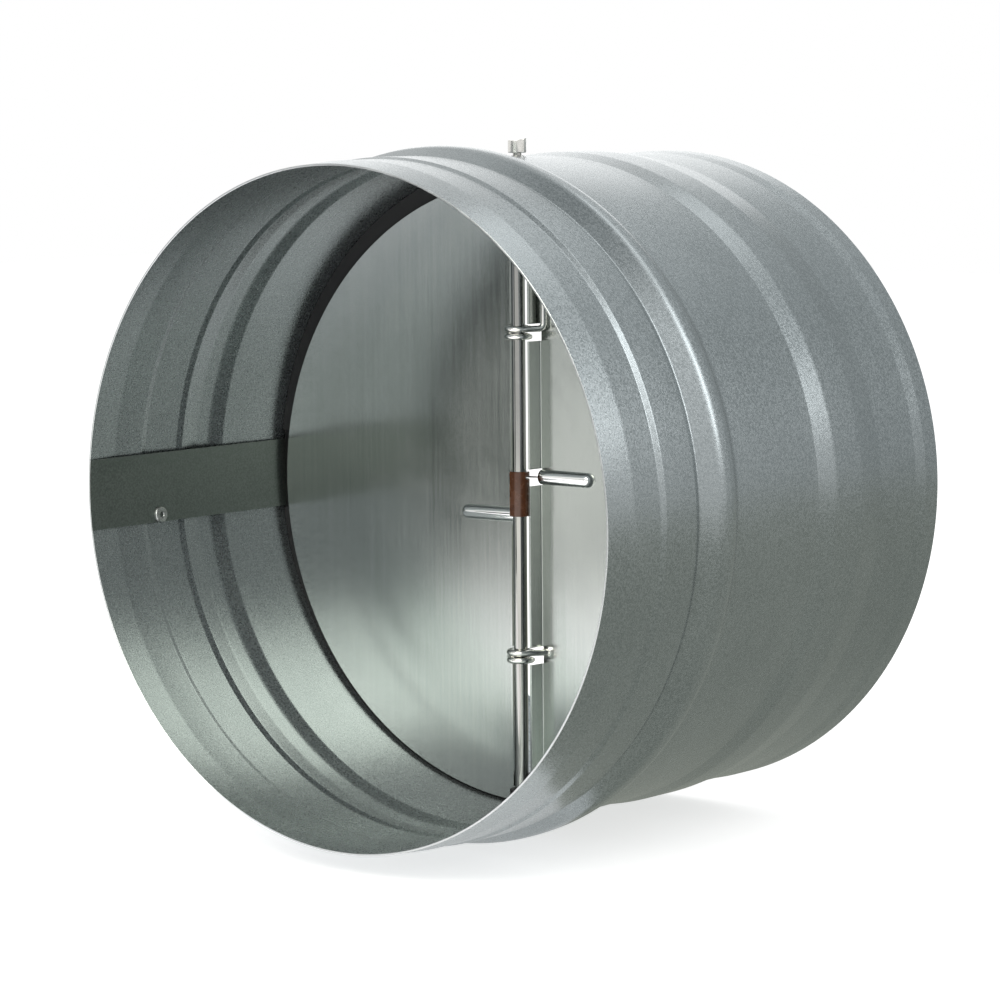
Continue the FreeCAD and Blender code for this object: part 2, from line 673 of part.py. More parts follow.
def make_clip(label, side, strand, has_tail):
    """Wire eye round the shaft whose foot is fixed in the blade, or lies up along it as a long tail."""
    wire = value_of("sizes.clip_wire_radius")
    ring = value_of("sizes.shaft_radius + sizes.clip_play") + wire
    setback = value_of("sizes.blade_setback")
    reach = value_of("sizes.clip_foot_reach")
    bend = value_of("sizes.clip_foot_bend")
    height = value_of(strand)
    foot = FreeCAD.Vector(reach, setback - wire - bend, height)
    if has_tail:
        foot = FreeCAD.Vector(reach, setback - wire - value_of("sizes.running_clearance"), height)
    leave = math.degrees(math.atan2(foot.y, foot.x) - math.acos(ring / math.hypot(foot.x, foot.y)))
    tangent_point = FreeCAD.Vector(
        ring * math.cos(math.radians(leave)), ring * math.sin(math.radians(leave)), height)
    eye_start = 40.0
    eye = arc_edge((0, 0), ring, eye_start, 360 + leave, height)
    heading = (foot - tangent_point).normalize()
    way_out = Z_AXIS if has_tail else Y_AXIS
    corner_arc, bend_start, bend_end = bend_edge(foot, heading, way_out, bend)
    if has_tail:
        end = FreeCAD.Vector(foot.x, foot.y, value_of(TAIL_TOP))
    else:
        end = FreeCAD.Vector(foot.x, value_of(PLATE_BACK) + wire / 2, height)
    edges = [eye, Part.LineSegment(tangent_point, bend_start).toShape(), corner_arc]
    edges.append(Part.LineSegment(bend_end, end).toShape())
    solid = sweep_round(edges, wire)
    if has_tail:
        solid = solid.fuse(Part.makeSphere(wire, end))
    else:
        collar_height = value_of("sizes.clip_collar_height")
        collar_base = FreeCAD.Vector(foot.x, setback - collar_height, height)
        collar = Part.makeCylinder(value_of("sizes.clip_collar_radius"), collar_height, collar_base, Y_AXIS)
        solid = solid.fuse(collar)
    eye_end = FreeCAD.Vector(
        ring * math.cos(math.radians(eye_start)), ring * math.sin(math.radians(eye_start)), height)
    solid = solid.fuse(Part.makeSphere(wire, eye_end)).removeSplitter()
    if side == LEFT:
        solid = solid.mirror(FreeCAD.Vector(), X_AXIS)
    clip = document.addObject("Part::Feature", label)
    clip.Label = label
    clip.Shape = solid
    turn_to_hinge(clip, side)
    return clip


def make_sleeve():
    """Thin brown tube over the spring, shut at the top round the shaft, with a window for each leg."""
    body = new_body("spring_sleeve")
    outer = "sizes.sleeve_radius"
    inner = "(sizes.sleeve_radius - sizes.sleeve_wall)"
    sketch = new_sketch(body, "sleeve_section", "XZ_Plane")
    draw_outline(sketch, [
        (inner, "-sizes.sleeve_bottom", None),
        (outer, "-sizes.sleeve_bottom", None),
        (outer, "sizes.sleeve_top", None),
        (SHAFT_HOLE, "sizes.sleeve_top", None),
        (SHAFT_HOLE, "sizes.sleeve_top - sizes.sleeve_end_wall", None),
        (inner, "sizes.sleeve_top - sizes.sleeve_end_wall", None),
    ])
    revolve(body, "sleeve_tube", sketch, "V_Axis")
    reach = "sizes.sleeve_radius * 1.5"
    window = "sizes.window_half_height"
    for name, start, low, tall in (
            ("right_leg_window", "0", "sizes.right_leg_height - " + window, window + " * 2"),
            ("left_leg_window", "-" + reach, "-sizes.left_leg_depth - " + window, window + " * 2")):
        primitive(
            body, "SubtractiveBox", name,
            {"Length": reach, "Width": reach + " + sizes.sleeve_radius / 4", "Height": tall},
            (start, "-sizes.sleeve_radius / 4", low))
    body.setExpression("Placement.Base.y", "sizes.hinge_offset")
    return body


def spring_leg_points(side, coil, height):
    """Root on the coil, three points of the knee and the tip of one spring leg, at rest."""
    steep = math.radians(value_of("sizes.spring_leg_slope"))
    straight = value_of("sizes.blade_setback - sizes.spring_leg_gap - sizes.spring_wire_radius")
    uphill = FreeCAD.Vector(math.cos(steep), math.sin(steep), 0)
    root = FreeCAD.Vector(-coil * math.sin(steep), coil * math.cos(steep), height)
    knee = root + uphill * ((straight - root.y) / math.sin(steep))
    tip = FreeCAD.Vector(value_of("sizes.spring_leg_reach"), straight, height)
    bend, bend_start, bend_end = bend_edge(knee, uphill, X_AXIS, value_of("sizes.spring_knee_radius"))
    halfway = bend.valueAt((bend.FirstParameter + bend.LastParameter) / 2)
    to_rest = FreeCAD.Rotation(Z_AXIS, -value_of("sizes.rest_angle"))
    turned = [to_rest.multVec(point) for point in (root, bend_start, halfway, bend_end, tip)]
    return [FreeCAD.Vector(side * point.x, point.y, point.z) for point in turned]


def bent_leg(points):
    """Straight wire, bend and straight wire through five points."""
    start, bend_start, halfway, bend_end, end = points
    return [Part.makeLine(start, bend_start), Part.Arc(bend_start, halfway, bend_end).toShape(),
            Part.makeLine(bend_end, end)]


def half_turn(coil, side, start_height, rise):
    """Half a turn of the coil that climbs evenly and leaves and meets its neighbours level."""
    crown = math.hypot(coil, rise / 2)
    start = FreeCAD.Vector(coil * side, 0, start_height)
    middle = FreeCAD.Vector(0, -crown * side, start_height + rise / 2)
    end = FreeCAD.Vector(-coil * side, 0, start_height + rise)
    return Part.Arc(start, middle, end).toShape()


def make_spring():
    """Torsion spring of one wire: a leg to the left blade, an open coil and a leg to the right one."""
    coil = value_of("sizes.spring_coil_radius")
    top = value_of("sizes.right_leg_height")
    bottom = -value_of("sizes.left_leg_depth")
    slope = value_of("sizes.spring_leg_slope - sizes.rest_angle")
    half_turns = 2 * round(value_of("sizes.spring_turns")) - 1
    rise = (top - bottom) / half_turns
    path = bent_leg(spring_leg_points(LEFT, coil, bottom)[::-1])
    path.append(arc_edge((0, 0), coil, 90 - slope, 0, bottom))
    for count in range(half_turns):
        path.append(half_turn(coil, (-1) ** count, bottom + rise * count, rise))
    path.append(arc_edge((0, 0), coil, 180, 90 + slope, top))
    path += bent_leg(spring_leg_points(RIGHT, coil, top))
    spring = document.addObject("Part::Feature", "torsion_spring")
    spring.Label = "torsion_spring"
    spring.Shape = sweep_round(path, value_of("sizes.spring_wire_radius"))
    spring.Placement = FreeCAD.Placement(FreeCAD.Vector(), UPRIGHT)
    spring.setExpression("Placement.Base.y", "sizes.hinge_offset")
    return spring


def build_pieces():
    """Every separate piece of the damper."""
    pieces = [make_casing(), make_seam_strip()]
    for end, along in rivet_places():
        pieces.append(make_seam_rivet(end, along))
    pieces += [make_seal_ring(), make_shaft(), make_shaft_cap()]
    pieces += [make_bush("upper_bush", 1), make_bush("lower_bush", -1)]
    pieces += [make_sleeve(), make_spring()]
    for name, side in (("right", RIGHT), ("left", LEFT)):
        pieces.append(make_blade(name + "_blade", side))
        pieces.append(make_keeper(name + "_leg_keeper", side))
        for place, strand in clip_strands(side):
            has_tail = place == "upper" and side == RIGHT
            pieces.append(make_clip("%s_%s_clip" % (name, place), side, strand, has_tail))
    return pieces


def check_and_write(pieces):
    """Stop on any failed object or bad shape, then write one STEP file for each piece."""
    for thing in document.Objects:
        if "Invalid" in thing.State or "Error" in thing.State:
            raise RuntimeError("%s failed: %s" % (thing.Name, thing.State))
    os.makedirs("parts", exist_ok=True)
    for piece in pieces:
        shape = piece.Shape
        if shape.isNull() or not shape.isValid() or not shape.Solids:
            raise RuntimeError("bad shape: " + piece.Label)
        print("%-22s solids %d volume %.1f" % (piece.Label, len(shape.Solids), shape.Volume))
    for piece in pieces:
        piece.Shape.exportStep("parts/%s.step" % piece.Label)


all_pieces = build_pieces()
document.recompute()
check_and_write(all_pieces)
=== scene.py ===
import math

import bmesh
import bpy
from mathutils import Matrix, Vector


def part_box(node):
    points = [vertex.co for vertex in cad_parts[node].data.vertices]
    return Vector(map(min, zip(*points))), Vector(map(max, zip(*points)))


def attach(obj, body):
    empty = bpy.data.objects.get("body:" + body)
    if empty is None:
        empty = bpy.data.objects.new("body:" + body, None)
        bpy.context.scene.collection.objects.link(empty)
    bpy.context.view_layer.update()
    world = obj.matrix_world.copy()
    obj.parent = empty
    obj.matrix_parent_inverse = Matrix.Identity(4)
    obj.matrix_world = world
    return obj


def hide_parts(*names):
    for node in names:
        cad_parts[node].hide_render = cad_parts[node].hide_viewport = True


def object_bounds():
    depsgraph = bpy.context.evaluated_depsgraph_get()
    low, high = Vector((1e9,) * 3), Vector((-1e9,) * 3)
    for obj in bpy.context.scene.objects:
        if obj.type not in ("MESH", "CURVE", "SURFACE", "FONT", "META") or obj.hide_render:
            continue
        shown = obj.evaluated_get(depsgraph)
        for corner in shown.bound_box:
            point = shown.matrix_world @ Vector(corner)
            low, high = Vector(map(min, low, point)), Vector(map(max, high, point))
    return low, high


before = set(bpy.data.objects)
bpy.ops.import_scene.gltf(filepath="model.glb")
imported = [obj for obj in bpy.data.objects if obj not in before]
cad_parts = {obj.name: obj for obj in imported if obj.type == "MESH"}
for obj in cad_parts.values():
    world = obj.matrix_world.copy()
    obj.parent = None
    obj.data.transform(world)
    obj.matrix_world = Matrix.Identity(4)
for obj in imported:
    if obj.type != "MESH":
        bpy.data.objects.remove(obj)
cad_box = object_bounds()

# Butterfly backdraft damper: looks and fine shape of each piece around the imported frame.
# Shapes are drawn in millimetres and brought to metres when a mesh is made.
# The duct axis is Y with the outlet at -Y, and the hinge shaft stands along Z.

MM = 0.001
TAU = math.tau
LEFT = -1
RIGHT = 1


def frame_box(node):
    """Lowest and highest corner of a frame node, in millimetres."""
    low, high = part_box(node)
    return low / MM, high / MM


# Rolled duct section
CASING_LOW, CASING_HIGH = frame_box("casing")
OUTLET = CASING_LOW.y
INLET = CASING_HIGH.y
WALL = 0.6
JOINT_GAP = 0.3
EDGE_ROUND = 0.12
RIM_TAPER = 0.8
RIM_TAPER_LENGTH = 11.0
RIM_BEND = 14.0
SWAGE_START = 22.5
SWAGE_STEP = 2.0
SWAGE_HEIGHT = 0.6
SWAGE_BEND = 1.6
BEAD_START = 40.2
BEAD_RISE = 7.2
BEAD_CREST = 5.8
BEAD_FALL = 5.0
BEAD_HEIGHT = 3.3
BEAD_GROOVE = 1.4
BEAD_BEND = 8.0
FOOT_BEND = 3.0
BARREL_SHOULDER = 5.3
BARREL_FLAT = 5.0
BARREL_SINK = 0.4
BARREL_BEND = 12.0
RIB_START = 30.5
RIB_FALL = 10.5
RIB_TOP = 13.5
RIB_RISE = 8.0
RIB_HEIGHT = 1.0
COLLAR_LENGTH = 6.5
COLLAR_SLOPE = 5.0
COLLAR_FOOT_BEND = 8.0
COLLAR_BEND = 6.0
SPIGOT_RADIUS = CASING_HIGH.x - BEAD_HEIGHT
BARREL_RADIUS = SPIGOT_RADIUS - BARREL_SINK

# Hinge line, shaft and bushes
SHAFT_LOW, SHAFT_HIGH = frame_box("shaft")
HINGE_Y = (SHAFT_LOW.y + SHAFT_HIGH.y) / 2
SHAFT_RADIUS = (SHAFT_HIGH.x - SHAFT_LOW.x) / 2
SHAFT_FOOT = SHAFT_LOW.z
NECK_RADIUS = 1.3
SHAFT_CHAMFER = 0.5
SHOULDER = BARREL_RADIUS + 0.3
CAP_LOW, CAP_HIGH = frame_box("shaft_cap")
CAP_HOLE = 2.5
CAP_SLANT = 1.0
CAP_OVER_NECK = 1.5
RUNNING = 0.05
BUSH_HEIGHT = 6.2
BUSH_SPIGOT = 3.0
BUSH_TIP = BARREL_RADIUS - WALL - BUSH_HEIGHT

# Blades, in the hinge's own axes: u away from the shaft, v through the blade, z up
REST_ANGLE = math.radians(3.0)
BLADE_RADIUS = 95.2
BLADE_DROP = 2.6
BLADE_SHEET = 0.8
SETBACK = 5.2
FLANGE_GAP = 3.3
FLANGE_EDGE = 0.2
BEND = 0.4
BEND_LAP = 1.5
PLATE_EDGE = FLANGE_GAP + BLADE_SHEET + BEND
PLATE_BACK = SETBACK + BLADE_SHEET

# Wire clips
CLIP_WIRE = 0.95
CLIP_RING = SHAFT_RADIUS + 0.35 + CLIP_WIRE
CLIP_PITCH = 2.3
UPPER_CLIP = 46.5
LOWER_CLIP = -51.5
CLIP_NOTCH = CLIP_PITCH / 2 + CLIP_WIRE + 0.5
CLIP_FOOT = 6.4
CLIP_FOOT_BEND = 1.2
CLIP_TAIL_TOP = 86.0
CLIP_COLLAR_RADIUS = 1.8
CLIP_COLLAR_HEIGHT = 0.9
CLIP_COLLAR_BEVEL = 0.3

# Spring, sleeve and keepers
SPRING_WIRE = 0.25
SPRING_COIL = 2.42
SPRING_TURNS = 6
SPRING_KNEE = 0.8
LEG_SLOPE = math.radians(18.0)
LEG_REACH = 22.0
LEG_GAP = 0.3
RIGHT_LEG = 2.8
LEFT_LEG = -8.5
LEFT_KEEPER = -9.3
SLEEVE_RADIUS = 3.05
SLEEVE_WALL = 0.27
SLEEVE_TOP = 4.6
SLEEVE_END = 0.8
SLEEVE_FOOT = -8.9
SLEEVE_CREASE = 14.0
FACET_FROM = math.radians(-134.0)
FACET_TO = math.radians(-84.0)
WINDOW_HALF = 0.45
KEEPER_RADIUS = 2.3
KEEPER_WALL = 0.45
KEEPER_START = 4.6
KEEPER_END = 25.0
KEEPER_NOTCH = KEEPER_RADIUS + 0.2
DIMPLE_RADIUS = 0.7
DIMPLE_DEPTH = 0.35

# Seam strip and rivets, as angles from +X towards +Z about the duct axis
STRIP_FROM = math.radians(174.5)
STRIP_TO = math.radians(187.0)
STRIP_SHEET = 0.5
STRIP_OUTSIDE = SPIGOT_RADIUS - RIM_TAPER - WALL - RUNNING
STRIP_INSIDE = STRIP_OUTSIDE - STRIP_SHEET
RIVET_ANGLE = math.radians(185.7)
RIVET_HEAD = 2.5
RIVET_SHANK = 1.6
RIVET_BORE = 0.8
RIVET_HEIGHT = 1.1
RIVET_PLACES = {"outlet_seam_rivet": -52.0, "inlet_seam_rivet": 52.0}

# Seal ring
SEAL_INSIDE = 90.0
SEAL_DEPTH = 6.0
SEAT_GAP = 0.3


# Mesh making


def piece(name, body, node, materials):
    """Gives a finished object its materials, hangs it on the body it rides on and hides the frame node it
    stands for.
    """
    obj = bpy.data.objects[name]
    for material in materials:
        obj.data.materials.append(material)
    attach(obj, body)
    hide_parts(node)


def leaf(side):
    """Body of the blade on one side."""
    return "right_leaf" if side == RIGHT else "left_leaf"


def mesh_from(name, work, matrix=None, sharp=35.0):
    """Object from a bmesh in millimetres, with smooth shading broken at sharp edges."""
    if matrix is not None:
        bmesh.ops.transform(work, matrix=matrix, verts=work.verts)
    bmesh.ops.scale(work, vec=(MM, MM, MM), verts=work.verts)
    bmesh.ops.remove_doubles(work, verts=work.verts, dist=1e-7)
    bmesh.ops.recalc_face_normals(work, faces=work.faces)
    mesh = bpy.data.meshes.new(name)
    work.to_mesh(mesh)
    work.free()
    mesh.polygons.foreach_set("use_smooth", [True] * len(mesh.polygons))
    mesh.set_sharp_from_angle(angle=math.radians(sharp))
    obj = bpy.data.objects.new(name, mesh)
    bpy.context.scene.collection.objects.link(obj)
    return obj


def apply_modifiers(obj):
    """Keeps the shape that the modifiers give, and drops the modifiers."""
    bpy.context.view_layer.update()
    graph = bpy.context.evaluated_depsgraph_get()
    shaped = bpy.data.meshes.new_from_object(obj.evaluated_get(graph))
    obj.modifiers.clear()
    obj.data = shaped


def round_edges(obj, width, sharp=35.0):
    """Small bevel on every sharp edge, so that edges catch the light."""
    bevel = obj.modifiers.new("edge", "BEVEL")
    bevel.width = width * MM
    bevel.segments = 2
    bevel.limit_method = "ANGLE"
    bevel.angle_limit = math.radians(sharp)
    bevel.harden_normals = True
    apply_modifiers(obj)


def cut_with(obj, *cutters):
    """Takes the cutters' space away from a piece."""
    for cutter in cutters:
        cut = obj.modifiers.new("cut", "BOOLEAN")
        cut.operation = "DIFFERENCE"
        cut.solver = "EXACT"
        cut.object = cutter
        apply_modifiers(obj)
        bpy.data.objects.remove(cutter)


def rounded_line(corners, steps=6):
    """Points of a line through corners of (x, y, radius), rounded where there is a radius."""
    points = []
    for i, (x, y, radius) in enumerate(corners):
        here = Vector((x, y))
        if not radius or i in (0, len(corners) - 1):
            points.append(here)
            continue
        back = Vector(corners[i - 1][:2]) - here
        ahead = Vector(corners[i + 1][:2]) - here
        half = back.angle(ahead) / 2
        reach = min(radius / math.tan(half), back.length * 0.49, ahead.length * 0.49)
        start = here + back.normalized() * reach
        end = here + ahead.normalized() * reach
        for k in range(steps + 1):
            t = k / steps
            points.append(start * (1 - t) ** 2 + here * 2 * t * (1 - t) + end * t ** 2)
    return points


def turn_outline(outline, steps, start=0.0, sweep=TAU):
    """Bmesh of a closed outline of (radius, along) points turned about Z."""
    work = bmesh.new()
    full = abs(sweep - TAU) < 1e-9
    count = steps if full else steps + 1
    rings = []
    for k in range(count):
        angle = start + sweep * k / steps
        over, up = math.cos(angle), math.sin(angle)
        rings.append([work.verts.new((r * over, r * up, along)) for r, along in outline])
    size = len(outline)
    for k in range(steps):
        one = rings[k]
        two = rings[(k + 1) % count]
        for i in range(size):
            j = (i + 1) % size
            work.faces.new((one[i], one[j], two[j], two[i]))
    if not full:
        work.faces.new(rings[0])
        work.faces.new(reversed(rings[-1]))
    return work


def along_duct():
    """Turns a shape made about Z into one about the duct axis, keeping angles from +X towards +Z."""
    return Matrix(((1, 0, 0, 0), (0, 0, 1, 0), (0, 1, 0, 0), (0, 0, 0, 1)))


def at_hinge(side):
    """From the hinge's own axes to the frame, for a closed blade on one side."""
    mirror = Matrix.Diagonal((side, 1, 1, 1))
    turn = Matrix.Rotation(-side * REST_ANGLE, 4, "Z")
    return Matrix.Translation((0, HINGE_Y, 0)) @ turn @ mirror


def straight_prism(outline, low, high):
    """Bmesh of a flat outline in x and y, drawn up from one height to another."""
    work = bmesh.new()
    bottom = [work.verts.new((x, y, low)) for x, y in outline]
    top = [work.verts.new((x, y, high)) for x, y in outline]
    work.faces.new(bottom)
    work.faces.new(reversed(top))
    for i in range(len(outline)):
        j = (i + 1) % len(outline)
        work.faces.new((bottom[i], bottom[j], top[j], top[i]))
    return work


def box_cutter(low, high):
    """Plain box between two corners, to cut with."""
    outline = [(low[0], low[1]), (high[0], low[1]), (high[0], high[1]), (low[0], high[1])]
    return mesh_from("cutter", straight_prism(outline, low[2], high[2]))


def join_works(works):
    """One bmesh out of several."""
    joined = bmesh.new()
    for work in works:
        spare = bpy.data.meshes.new("spare")
        work.to_mesh(spare)
        work.free()
        joined.from_mesh(spare)
        bpy.data.meshes.remove(spare)
    return joined


def wire_work(points, radius, sides):
    """Bmesh of a round wire along points, with rounded ends."""
    line = [Vector(p) for p in points]
    headings = []
    for i in range(len(line)):
        before = line[max(i - 1, 0)]
        after = line[min(i + 1, len(line) - 1)]
        headings.append((after - before).normalized())
    dome = [math.radians(a) for a in (18, 36, 54, 72, 86)]
    first, last = headings[0], headings[-1]
    stations = [(line[0] - first * radius * math.sin(a), first, math.cos(a)) for a in reversed(dome)]
    stations += [(place, heading, 1.0) for place, heading in zip(line, headings)]
    stations += [(line[-1] + last * radius * math.sin(a), last, math.cos(a)) for a in dome]
    work = bmesh.new()
    across = first.orthogonal().normalized()
    rings = []
    for place, heading, share in stations:
        across = (across - heading * across.dot(heading)).normalized()
        up = heading.cross(across)
        ring = []
        for k in range(sides):
            turn = TAU * k / sides
            spoke = across * math.cos(turn) + up * math.sin(turn)
            ring.append(work.verts.new(place + spoke * radius * share))
        rings.append(ring)
    for one, two in zip(rings, rings[1:]):
        for k in range(sides):
            n = (k + 1) % sides
            work.faces.new((one[k], one[n], two[n], two[k]))
    work.faces.new(reversed(rings[0]))
    work.faces.new(rings[-1])
    return work


def arc_points(radius, first, last, height, steps):
    """Points on a level arc about the hinge axis, angles in degrees."""
    points = []
    for k in range(steps + 1):
        angle = math.radians(first + (last - first) * k / steps)
        points.append(Vector((radius * math.cos(angle), radius * math.sin(angle), height)))
    return points


def corner_points(corner, way_in, way_out, radius, steps=8):
    """Points round a wire's bend between two directions."""
    half = way_in.angle(way_out) / 2
    reach = radius * math.tan(half)
    start = corner - way_in * reach
    end = corner + way_out * reach
    middle = corner + (way_out - way_in).normalized() * (radius / math.cos(half))
    points = []
    for k in range(1, steps):
        points.append(middle + (start - middle).slerp(end - middle, k / steps))
    return [start] + points + [end]


# Shader groups


def group_tree(name, inputs, outputs):
    """Empty shader group with named inputs of (name, default) and named outputs of (name, kind)."""
    tree = bpy.data.node_groups.new(name, "ShaderNodeTree")
    for label, default in inputs:
        socket = tree.interface.new_socket(label, in_out="INPUT", socket_type="NodeSocketFloat")
        socket.default_value = default
    for label, kind in outputs:
        tree.interface.new_socket(label, in_out="OUTPUT", socket_type=kind)
    start = tree.nodes.new("NodeGroupInput")
    end = tree.nodes.new("NodeGroupOutput")
    return tree, start, end


def add_node(tree, kind, links=None, **values):
    """Node with its own settings, input defaults by name and links into it."""
    node = tree.nodes.new(kind)
    for key, value in values.items():
        if hasattr(node, key):
            setattr(node, key, value)
        else:
            node.inputs[key.replace("_", " ")].default_value = value
    for socket, source in (links or {}).items():
        tree.links.new(source, node.inputs[socket])
    return node


def noise(tree, place, scale, detail=3.0, roughness=0.55):
    """Noise texture whose scale is a number or another node's output."""
    node = add_node(tree, "ShaderNodeTexNoise", {"Vector": place}, Detail=detail, Roughness=roughness)
    if hasattr(scale, "is_linked"):
        tree.links.new(scale, node.inputs["Scale"])
    else:
        node.inputs["Scale"].default_value = scale
    return node.outputs["Fac"]


def spread(tree, source, low, high, to_low=0.0, to_high=1.0):
    """Maps a value from one span to another, smoothly at the ends."""
    node = add_node(tree, "ShaderNodeMapRange", interpolation_type="SMOOTHSTEP")
    tree.links.new(source, node.inputs["Value"])
    for socket, value in zip(("From Min", "From Max", "To Min", "To Max"), (low, high, to_low, to_high)):
        node.inputs[socket].default_value = value
    return node.outputs["Result"]


def sums(tree, operation, one, two):
    """Maths of two values, each a number or a node's output."""
    node = add_node(tree, "ShaderNodeMath", operation=operation)
    for socket, value in zip(node.inputs, (one, two)):
        if hasattr(value, "is_linked"):
            tree.links.new(value, socket)
        else:
            socket.default_value = value
    return node.outputs["Value"]


def weigh(tree, one, one_share, two, two_share):
    """Sum of two values, each taken by its share."""
    return sums(
        tree, "ADD", sums(tree, "MULTIPLY", one, one_share), sums(tree, "MULTIPLY", two, two_share))


def zinc_spangle_group():
    """Fine frosty crystals of a galvanised sheet, and the soft waves that rolling leaves."""
    tree, start, end = group_tree(
        "zinc_spangle",
        [("Grain Scale", 2300.0), ("Cloud Scale", 14.0)],
        [("Grain", "NodeSocketFloat"), ("Cloud", "NodeSocketFloat"), ("Height", "NodeSocketFloat")])
    place = add_node(tree, "ShaderNodeTexCoord").outputs["Object"]
    scale = start.outputs["Grain Scale"]
    crystals = add_node(tree, "ShaderNodeTexVoronoi", {"Vector": place, "Scale": scale})
    shade = add_node(tree, "ShaderNodeSeparateColor", {"Color": crystals.outputs["Color"]})
    fine = noise(tree, place, sums(tree, "MULTIPLY", scale, 1.7), 4.0, 0.65)
    grain = weigh(tree, shade.outputs["Red"], 0.45, fine, 0.55)
    cloud = spread(tree, noise(tree, place, start.outputs["Cloud Scale"], 4.0, 0.6), 0.32, 0.68)
    tree.links.new(grain, end.inputs["Grain"])
    tree.links.new(cloud, end.inputs["Cloud"])
    height = sums(tree, "ADD", grain, sums(tree, "MULTIPLY", cloud, 2.0))
    tree.links.new(height, end.inputs["Height"])
    return tree


def brushed_grain_group():
    """Fine straight brush marks along Z, with longer and shorter scratches."""
    tree, start, end = group_tree(
        "brushed_grain",
        [("Across", 2400.0), ("Along", 26.0)],
        [("Lines", "NodeSocketFloat"), ("Streaks", "NodeSocketFloat")])
    place = add_node(tree, "ShaderNodeTexCoord").outputs["Object"]
    stretch = add_node(tree, "ShaderNodeCombineXYZ", {
        "X": start.outputs["Across"], "Y": start.outputs["Across"], "Z": start.outputs["Along"]})
    stretched = {0: place, 1: stretch.outputs["Vector"]}
    fine = add_node(tree, "ShaderNodeVectorMath", stretched, operation="MULTIPLY").outputs["Vector"]
    coarse = add_node(tree, "ShaderNodeVectorMath", {0: fine}, operation="SCALE", Scale=0.22)
    tree.links.new(noise(tree, fine, 1.0, 5.0, 0.7), end.inputs["Lines"])
    tree.links.new(noise(tree, coarse.outputs["Vector"], 1.0, 3.0, 0.6), end.inputs["Streaks"])
    return tree


def handling_marks_group():
    """Faint smudges that lie on any handled part."""
    tree, start, end = group_tree("handling_marks", [("Scale", 60.0)], [("Smudge", "NodeSocketFloat")])
    place = add_node(tree, "ShaderNodeTexCoord").outputs["Object"]
    wide = noise(tree, place, start.outputs["Scale"], 5.0, 0.6)
    tree.links.new(spread(tree, wide, 0.42, 0.66), end.inputs["Smudge"])
    return tree


GROUPS = {
    "spangle": zinc_spangle_group(),
    "brushed": brushed_grain_group(),
    "marks": handling_marks_group(),
}


def place_group(tree, key, **values):
    """A shader group placed in a material with its own values."""
    node = tree.nodes.new("ShaderNodeGroup")
    node.node_tree = GROUPS[key]
    for label, value in values.items():
        node.inputs[label.replace("_", " ")].default_value = value
    return node


def new_finish(name, **constants):
    """Material with a Principled shader whose constant values are set on its own sockets."""
    material = bpy.data.materials.new(name)
    material.use_nodes = True
    tree = material.node_tree
    shader = tree.nodes["Principled BSDF"]
    for label, value in constants.items():
        shader.inputs[label.replace("_", " ")].default_value = value
    return material, tree, shader


def blend_colours(tree, mask, dark, light):
    """Colour between two, by a mask."""
    node = add_node(tree, "ShaderNodeMix", data_type="RGBA")
    tree.links.new(mask, node.inputs["Factor"])
    dark_input, light_input = [s for s in node.inputs if s.type == "RGBA"]
    dark_input.default_value = (*dark, 1.0)
    light_input.default_value = (*light, 1.0)
    return next(s for s in node.outputs if s.type == "RGBA")


def bump_into(tree, shader, height, strength, distance):
    """Fine relief on a shader's normal."""
    node = add_node(tree, "ShaderNodeBump", {"Height": height}, Strength=strength, Distance=distance)
    tree.links.new(node.outputs["Normal"], shader.inputs["Normal"])


def paint(tree, shader, colour, roughness):
    """Links a colour and a roughness into a shader."""
    tree.links.new(colour, shader.inputs["Base Color"])
    tree.links.new(roughness, shader.inputs["Roughness"])


def galvanised_sheet(name, dark, light, rough_low, rough_high, relief=0.12):
    """Galvanised steel sheet with a fine frosty spangle."""
    material, tree, shader = new_finish(name, Metallic=0.88)
    spangle = place_group(tree, "spangle")
    shade = weigh(tree, spangle.outputs["Grain"], 0.82, spangle.outputs["Cloud"], 0.18)
    colour = blend_colours(tree, spread(tree, shade, 0.2, 0.8), dark, light)
    rough = spread(tree, spangle.outputs["Grain"], 0.25, 0.75, rough_low, rough_high)
    paint(tree, shader, colour, rough)
    bump_into(tree, shader, spangle.outputs["Height"], relief, 0.0002)
    return material


def brushed_sheet(name, dark, light, rough_low, rough_high, relief):
    """Aluminium sheet with upright brush marks."""
    material, tree, shader = new_finish(name, Metallic=1.0, Anisotropic=0.5)
    grain = place_group(tree, "brushed", Across=4200.0, Along=40.0)
    marks = place_group(tree, "marks", Scale=26.0)
    lines = weigh(tree, grain.outputs["Lines"], 0.6, grain.outputs["Streaks"], 0.4)
    colour = blend_colours(tree, spread(tree, lines, 0.3, 0.7), dark, light)
    rough = sums(tree, "ADD", spread(tree, lines, 0.3, 0.7, rough_low, rough_high),
                 sums(tree, "MULTIPLY", marks.outputs["Smudge"], 0.05))
    paint(tree, shader, colour, rough)
    across = add_node(
        tree, "ShaderNodeVectorTransform",
        vector_type="VECTOR", convert_from="OBJECT", convert_to="WORLD", Vector=(0.7, 0.7, 0.0))
    tree.links.new(across.outputs["Vector"], shader.inputs["Tangent"])
    bump_into(tree, shader, lines, relief, 0.00005)
    return material


def drawn_metal(name, dark, light, rough_low, rough_high):
    """Smooth drawn or polished metal with faint handling marks."""
    material, tree, shader = new_finish(name, Metallic=1.0)
    marks = place_group(tree, "marks", Scale=180.0)
    lines = place_group(tree, "brushed", Across=2500.0, Along=40.0)
    colour = blend_colours(tree, lines.outputs["Lines"], dark, light)
    paint(tree, shader, colour, spread(tree, marks.outputs["Smudge"], 0.0, 1.0, rough_low, rough_high))
    bump_into(tree, shader, lines.outputs["Lines"], 0.08, 0.00003)
    return material


